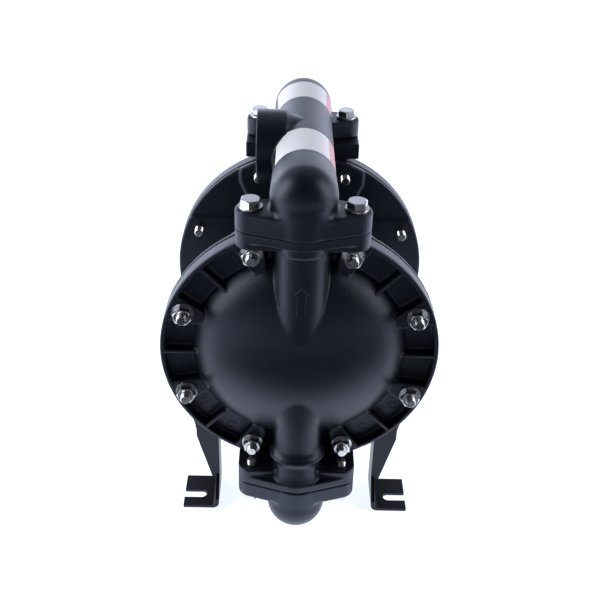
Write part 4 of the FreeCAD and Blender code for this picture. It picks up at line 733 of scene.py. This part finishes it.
def hexagon_piece(name, bore, low, high, chamfered_low=True):
    """A hexagon nut along Z, or a bolt's head if it has no bore."""
    mesh = bmesh.new()
    chamfer_radius = HEX_FLATS / 2 * HEX_ROUND
    inside = bore if bore else HEX_FLATS / 8
    rings = []
    for index in range(HEX_SIDES):
        angle = 2 * math.pi * index / HEX_SIDES
        corner = HEX_FLATS / 2 / math.cos((angle + SIXTH / 2) % SIXTH - SIXTH / 2)
        drop = max(0.0, corner - chamfer_radius) * math.tan(HEX_CHAMFER)
        low_drop = drop if chamfered_low else 0.0
        profile = [(inside, low), (chamfer_radius, low), (corner, low + low_drop), (corner, high - drop),
                   (chamfer_radius, high), (inside + (BORE_CHAMFER if bore else 0), high)]
        if bore:
            profile.append((inside, high - BORE_CHAMFER))
        rings.append([mesh.verts.new((r * math.cos(angle), r * math.sin(angle), z)) for r, z in profile])
    steps = len(rings[0])
    for index, ring in enumerate(rings):
        following = rings[(index + 1) % HEX_SIDES]
        for step in range(steps if bore else steps - 1):
            after = (step + 1) % steps
            mesh.faces.new((ring[step], following[step], following[after], ring[after]))
    if not bore:
        mesh.faces.new([ring[0] for ring in rings])
        mesh.faces.new([ring[-1] for ring in rings])
    bmesh.ops.remove_doubles(mesh, verts=mesh.verts, dist=MERGE_REACH)
    return pattern_object(name, mesh)


for end in ENDS:
    low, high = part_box(f"cap_nuts_{end}")
    inner, outer = sorted((abs(low.y), abs(high.y)))
    nut = hexagon_piece("nut_pattern", NUT_BORE, inner, outer)
    grow(f"nuts_{end}", circle_tree, "pump_frame", "fastener", f"cap_nuts_{end}",
         **ring_values(end, nut, NUT_SEEDS[end]))
    bpy.data.objects.remove(nut)
    dress(steel, f"cap_washers_{end}")

# Nuts of the legs
# Thin M8 nuts on the studs' inner ends hold the plates of the legs against the air caps, two
# for each leg.
THIN_NUT_HEIGHT = 3.9 * MM
THIN_NUT_SEEDS = {"front": 31, "rear": 32}
low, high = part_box("leg_nuts")
thin_nut_face = abs(high.y)
thin_nut = hexagon_piece("thin_nut_pattern", NUT_BORE, thin_nut_face - THIN_NUT_HEIGHT, thin_nut_face)
for end in ENDS:
    values = ring_values(end, thin_nut, THIN_NUT_SEEDS[end], 4, -3.5 * EIGHTH, 3 * EIGHTH)
    grow(f"leg_nuts_{end}", circle_tree, "pump_frame", "fastener", "leg_nuts", **values)
bpy.data.objects.remove(thin_nut)

# Bolts of the manifolds
# Two M8 hexagon bolts with flat washers hold each manifold flange on a fluid cap. Their ends
# stand a few millimetres out of the cap's flange.
BOLT_REACH = 37 * MM
BOLT_THREAD = 9 * MM
BOLT_SEEDS = {"outlet": 41, "inlet": 42}
HEAD_HEIGHT = 5.3 * MM
grid_tree = make_pattern_tree(
    "pieces on a rectangle", "GeometryNodeMeshGrid", "Mesh",
    (("Width", "NodeSocketFloat", "Size X"), ("Length", "NodeSocketFloat", "Size Y")),
    {"Vertices X": 2, "Vertices Y": 2})
low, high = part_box("outlet_manifold_bolts")
head_top = high.z - AXIS_HEIGHT
head_base = head_top - HEAD_HEIGHT
shank_end = low.z - AXIS_HEIGHT
for kind, turn in (("outlet", (0, 0, 0)), ("inlet", (math.radians(180), 0, 0))):
    head = hexagon_piece("head_pattern", 0, head_base, head_top, chamfered_low=False)
    shank = threaded_rod("shank_pattern", shank_end, head_base, [(shank_end, shank_end + BOLT_THREAD)])
    bolt = bmesh.new()
    bolt.from_mesh(head.data)
    bolt.from_mesh(shank.data)
    bpy.data.objects.remove(head)
    bpy.data.objects.remove(shank)
    pattern = pattern_object("bolt_pattern", bolt)
    grow(f"{kind}_bolts", grid_tree, "pump_frame", "fastener", f"{kind}_manifold_bolts",
         Piece=pattern, Width=2 * BOLT_REACH, Length=2 * PORT_OFFSET, Seed=BOLT_SEEDS[kind],
         Turn=turn, Place=(0, 0, AXIS_HEIGHT), Finish=steel)
    bpy.data.objects.remove(pattern)
    dress(steel, f"{kind}_manifold_washers")

# Blank labels of the outlet manifold
# Two white vinyl labels are wrapped over the outlet tube. They are left blank, with a pale
# stripe along one edge.
LABEL_THICKNESS = 0.12 * MM
LABEL_GAP = 0.02 * MM
LABEL_ENDS = (math.radians(-64), math.radians(76))
LABEL_PLACES = (("front", -61 * MM, -20.3 * MM), ("rear", 48.5 * MM, 82.5 * MM))
LABEL_STEPS = 48
LABEL_WHITE = (0.92, 0.92, 0.93)
STRIPE_START = math.radians(51)
STRIPE_PINK = (0.80, 0.36, 0.38)


def make_label_material():
    """White vinyl with a pale stripe, placed by the angle round the tube."""
    material = new_finish("white vinyl label", LABEL_WHITE, LABEL_WHITE,
                          roughness=0.42, spread=0.05, grain=700.0, depth=0.01 * MM, radius=0.05 * MM)
    tree = material.node_tree
    shader = tree.nodes["Principled BSDF"]
    place = add_node(tree, "ShaderNodeTexCoord")
    parts = add_node(tree, "ShaderNodeSeparateXYZ")
    rise = add_node(tree, "ShaderNodeMath", operation="SUBTRACT")
    rise.inputs[1].default_value = AXIS_HEIGHT + TUBE_HEIGHT
    angle = add_node(tree, "ShaderNodeMath", operation="ARCTAN2")
    beyond = add_node(tree, "ShaderNodeMath", operation="GREATER_THAN")
    beyond.inputs[1].default_value = STRIPE_START
    stripe = add_node(tree, "ShaderNodeMix", data_type="RGBA")
    stripe.inputs["A"].default_value = (*LABEL_WHITE, 1.0)
    stripe.inputs["B"].default_value = (*STRIPE_PINK, 1.0)
    tree.links.new(place.outputs["Object"], parts.inputs["Vector"])
    tree.links.new(parts.outputs["Z"], rise.inputs[0])
    tree.links.new(parts.outputs["X"], angle.inputs[0])
    tree.links.new(rise.outputs["Value"], angle.inputs[1])
    tree.links.new(angle.outputs["Value"], beyond.inputs[0])
    tree.links.new(beyond.outputs["Value"], stripe.inputs["Factor"])
    tree.links.new(stripe.outputs["Result"], shader.inputs["Base Color"])
    return material


vinyl = make_label_material()
for name, begin, end in LABEL_PLACES:
    label = bmesh.new()
    rings = []
    for index in range(LABEL_STEPS + 1):
        angle = LABEL_ENDS[0] + (LABEL_ENDS[1] - LABEL_ENDS[0]) * index / LABEL_STEPS
        across = Vector((math.sin(angle), 0, math.cos(angle)))
        centre = Vector((0, 0, AXIS_HEIGHT + TUBE_HEIGHT))
        rings.append([label.verts.new(centre + across * (swollen_radius(y) + rise) + Vector((0, y, 0)))
                      for rise, y in ((LABEL_GAP, begin), (LABEL_THICKNESS, begin),
                                      (LABEL_THICKNESS, end), (LABEL_GAP, end))])
    join_rings(label, rings)
    label.faces.new(rings[0])
    label.faces.new(reversed(rings[-1]))
    piece = finish_mesh(f"blank_label_{name}", label, vinyl, "pump_frame")
    piece.data.set_sharp_from_angle(angle=math.radians(40))

# Screws of the valve, the hubs and the plates
# Bright stainless steel screws hold the air valve's body and its end caps, join the air caps
# to the centre body, and clamp the plates on the diaphragm rod.
dress(steel, "valve_bolts", "valve_cap_screws")
for end in ENDS:
    dress(steel, f"hub_screws_{end}", f"plate_screw_{end}")

# Diaphragms, balls and seals
# The diaphragms and the valve balls are moulded in black nitrile rubber and stay matt.
# O-rings, rod seals and gaskets are cut or moulded from the same rubber.
rubber = new_finish("moulded nitrile rubber", (0.014, 0.014, 0.014), (0.03, 0.03, 0.03),
                    roughness=0.62, spread=0.08, grain=800.0, depth=0.03 * MM, radius=0.4 * MM)
for end in ENDS:
    dress(rubber, f"diaphragm_{end}", f"center_gasket_{end}", f"outlet_ball_{end}", f"inlet_ball_{end}")
dress(rubber, "outlet_manifold_seals", "inlet_manifold_seals", "rod_seals", "pilot_seals", "valve_gasket")

# Rods and plates
# The diaphragm rod and the pilot rod are ground stainless steel. The plates that clamp the
# diaphragms between them are turned from the same steel.
turned_steel = new_finish("turned stainless steel", (0.50, 0.51, 0.53), (0.62, 0.63, 0.65),
                          roughness=0.30, spread=0.06, grain=1200.0, depth=0.01 * MM, radius=0.3 * MM,
                          Metallic=1.0)
dress(turned_steel, "diaphragm_rod", "pilot_rod")
for end in ENDS:
    dress(turned_steel, f"inner_plate_{end}", f"outer_plate_{end}")

# Valve seats and bushings
# The seats of the ball valves and the bushings of the rod are turned from white acetal. Each
# seat lies between a fluid cap and a manifold, under a ball.
acetal = new_finish("turned acetal", (0.72, 0.70, 0.65), (0.78, 0.77, 0.72),
                    roughness=0.45, spread=0.05, grain=500.0, depth=0.01 * MM, radius=0.3 * MM)
for end in ENDS:
    dress(acetal, f"outlet_seat_{end}", f"inlet_seat_{end}")
dress(acetal, "rod_bushings")

# Sleeve and spool
# The air valve's sleeve is turned brass and lines the bore of the valve body. The spool that
# slides in it is hard anodised aluminium.
brass = new_finish("turned brass", (0.60, 0.42, 0.16), (0.75, 0.56, 0.26),
                   roughness=0.28, spread=0.06, grain=900.0, depth=0.01 * MM, radius=0.3 * MM, Metallic=1.0)
dress(brass, "valve_sleeve")
anodised = new_finish("hard anodised aluminium", (0.16, 0.16, 0.17), (0.30, 0.30, 0.31),
                      roughness=0.38, spread=0.05, grain=900.0, depth=0.01 * MM, radius=0.3 * MM,
                      Metallic=1.0)
dress(anodised, "valve_spool")

# Muffler
# A silencer of moulded black plastic is screwed into the exhaust port. Long slots let the
# used air out.
plastic = new_finish("moulded black plastic", (0.018, 0.018, 0.018), (0.03, 0.03, 0.03),
                     roughness=0.5, spread=0.06, grain=600.0, depth=0.03 * MM, radius=0.4 * MM)
dress(plastic, "muffler")

# Floor, light and camera
# A plain white table under soft boxes, in a studio that is brighter behind the pump and on its
# left. A dark card in front of the pump shows only as a reflection: a painted dark reflection in
# the coat. The camera stands where the photographer's stood.
STUDIO_TINT = (0.76, 0.81, 1.0, 1.0)
FLOOR_CORNERS = ((-3, -3), (3, 3))
FLOOR_GLOW = 1.1
CARD_CORNERS = ((-0.5, -1.3), (0.9, -0.2))
CARD_LEVEL = 1 * MM
CARD_MIDDLE = 0.45
STUDIO_LEVELS = (("Y", -0.35, 0.80, 0.17, 2.3), ("X", -1.0, 1.0, 1.3, 0.8), ("Z", 0.05, 0.50, 1.0, 0.25))
BOX_SIZE = (0.5, 0.9)
BOX_PLACES = (("left_box", (-0.95, -0.1, 0.68), 7), ("right_box", (0.95, -0.1, 0.68), 4.2))


def lay_sheet(name, corners, level, title):
    """A flat rectangle on the stage and its material."""
    (x0, y0), (x1, y1) = corners
    data = bpy.data.meshes.new(name)
    data.from_pydata([(x0, y0, level), (x1, y0, level), (x1, y1, level), (x0, y1, level)], [], [(0, 1, 2, 3)])
    paint = bpy.data.materials.new(title)
    paint.use_nodes = True
    data.materials.append(paint)
    return new_object(name, data), paint.node_tree


floor, tree = lay_sheet("floor", FLOOR_CORNERS, 0, "white table")
floor_shader = tree.nodes["Principled BSDF"]
floor_shader.inputs["Base Color"].default_value = (0.86, 0.86, 0.87, 1.0)
floor_shader.inputs["Roughness"].default_value = 0.7
floor_shader.inputs["Emission Color"].default_value = STUDIO_TINT
floor_shader.inputs["Emission Strength"].default_value = FLOOR_GLOW

world = bpy.data.worlds.new("studio")
world.use_nodes = True
tree = world.node_tree
studio = tree.nodes["Background"]
studio.inputs["Color"].default_value = STUDIO_TINT
backdrop = add_node(tree, "ShaderNodeBackground", {"Color": (1.0, 1.0, 1.0, 1.0), "Strength": 1.0})
seen = add_node(tree, "ShaderNodeLightPath")
either = add_node(tree, "ShaderNodeMixShader")
direction = add_node(tree, "ShaderNodeTexCoord")
parts = add_node(tree, "ShaderNodeSeparateXYZ")
tree.links.new(direction.outputs["Generated"], parts.inputs["Vector"])
levels = []
for axis, near, far, low, high in STUDIO_LEVELS:
    level = add_node(tree, "ShaderNodeMapRange",
                     {"From Min": near, "From Max": far, "To Min": low, "To Max": high},
                     interpolation_type="SMOOTHSTEP")
    tree.links.new(parts.outputs[axis], level.inputs["Value"])
    levels.append(level)
first = add_node(tree, "ShaderNodeMath", operation="MULTIPLY")
second = add_node(tree, "ShaderNodeMath", operation="MULTIPLY")
tree.links.new(levels[0].outputs["Result"], first.inputs[0])
tree.links.new(levels[1].outputs["Result"], first.inputs[1])
tree.links.new(first.outputs["Value"], second.inputs[0])
tree.links.new(levels[2].outputs["Result"], second.inputs[1])
tree.links.new(second.outputs["Value"], studio.inputs["Strength"])
tree.links.new(seen.outputs["Is Camera Ray"], either.inputs["Fac"])
tree.links.new(studio.outputs["Background"], either.inputs[1])
tree.links.new(backdrop.outputs["Background"], either.inputs[2])
tree.links.new(either.outputs["Shader"], tree.nodes["World Output"].inputs["Surface"])
bpy.context.scene.world = world

card, tree = lay_sheet("dark_card", CARD_CORNERS, CARD_LEVEL, "dark card")
card_place = add_node(tree, "ShaderNodeTexCoord")
card_parts = add_node(tree, "ShaderNodeSeparateXYZ")
card_middle = add_node(tree, "ShaderNodeMath", operation="ADD")
card_middle.inputs[1].default_value = CARD_MIDDLE
card_away = add_node(tree, "ShaderNodeMath", operation="ABSOLUTE")
# The card's colour is the painted reflection: near black in a band across it, paler on both sides.
painted_reflection_grade = add_node(tree, "ShaderNodeMapRange",
                      {"From Min": 0.13, "From Max": 0.27, "To Min": 0.012, "To Max": 0.40})
tree.links.new(card_place.outputs["Object"], card_parts.inputs["Vector"])
tree.links.new(card_parts.outputs["Y"], card_middle.inputs[0])
tree.links.new(card_middle.outputs["Value"], card_away.inputs[0])
tree.links.new(card_away.outputs["Value"], painted_reflection_grade.inputs["Value"])
tree.links.new(painted_reflection_grade.outputs["Result"], tree.nodes["Principled BSDF"].inputs["Base Color"])
card.visible_camera = False
card.visible_diffuse = False
card.visible_shadow = False

for name, place, power in BOX_PLACES:
    lamp = bpy.data.lights.new(name, "AREA")
    lamp.shape = "RECTANGLE"
    lamp.size, lamp.size_y = BOX_SIZE
    lamp.energy = power
    soft_box = new_object(name, lamp)
    soft_box.location = place
    toward_pump = Vector((0, 0, AXIS_HEIGHT)) - Vector(place)
    soft_box.rotation_euler = toward_pump.to_track_quat("-Z", "Y").to_euler()

CAMERA_TARGET = Vector((0.44 * MM, 0, AXIS_HEIGHT + 1.2 * MM))
CAMERA_DISTANCE = 777.1 * MM
CAMERA_RISE = math.radians(32.005)
CAMERA_SIDE = math.radians(-0.859)
CAMERA_ROLL = math.radians(1.636)
CAMERA_LENS = 54.58
right = Vector((math.cos(CAMERA_SIDE), math.sin(CAMERA_SIDE), 0))
back = Vector((math.sin(CAMERA_SIDE) * math.cos(CAMERA_RISE), -math.cos(CAMERA_SIDE) * math.cos(CAMERA_RISE),
               math.sin(CAMERA_RISE)))
up = back.cross(right)
camera_x = right * math.cos(CAMERA_ROLL) + up * math.sin(CAMERA_ROLL)
camera_y = up * math.cos(CAMERA_ROLL) - right * math.sin(CAMERA_ROLL)
lens = bpy.data.cameras.new("camera")
lens.lens = CAMERA_LENS
lens.sensor_width = 36.0
camera = new_object("camera", lens)
turn = Matrix((camera_x, camera_y, back)).transposed().to_4x4()
camera.matrix_world = Matrix.Translation(CAMERA_TARGET + back * CAMERA_DISTANCE) @ turn
bpy.context.scene.camera = camera
bpy.context.scene.view_settings.view_transform = "Standard"
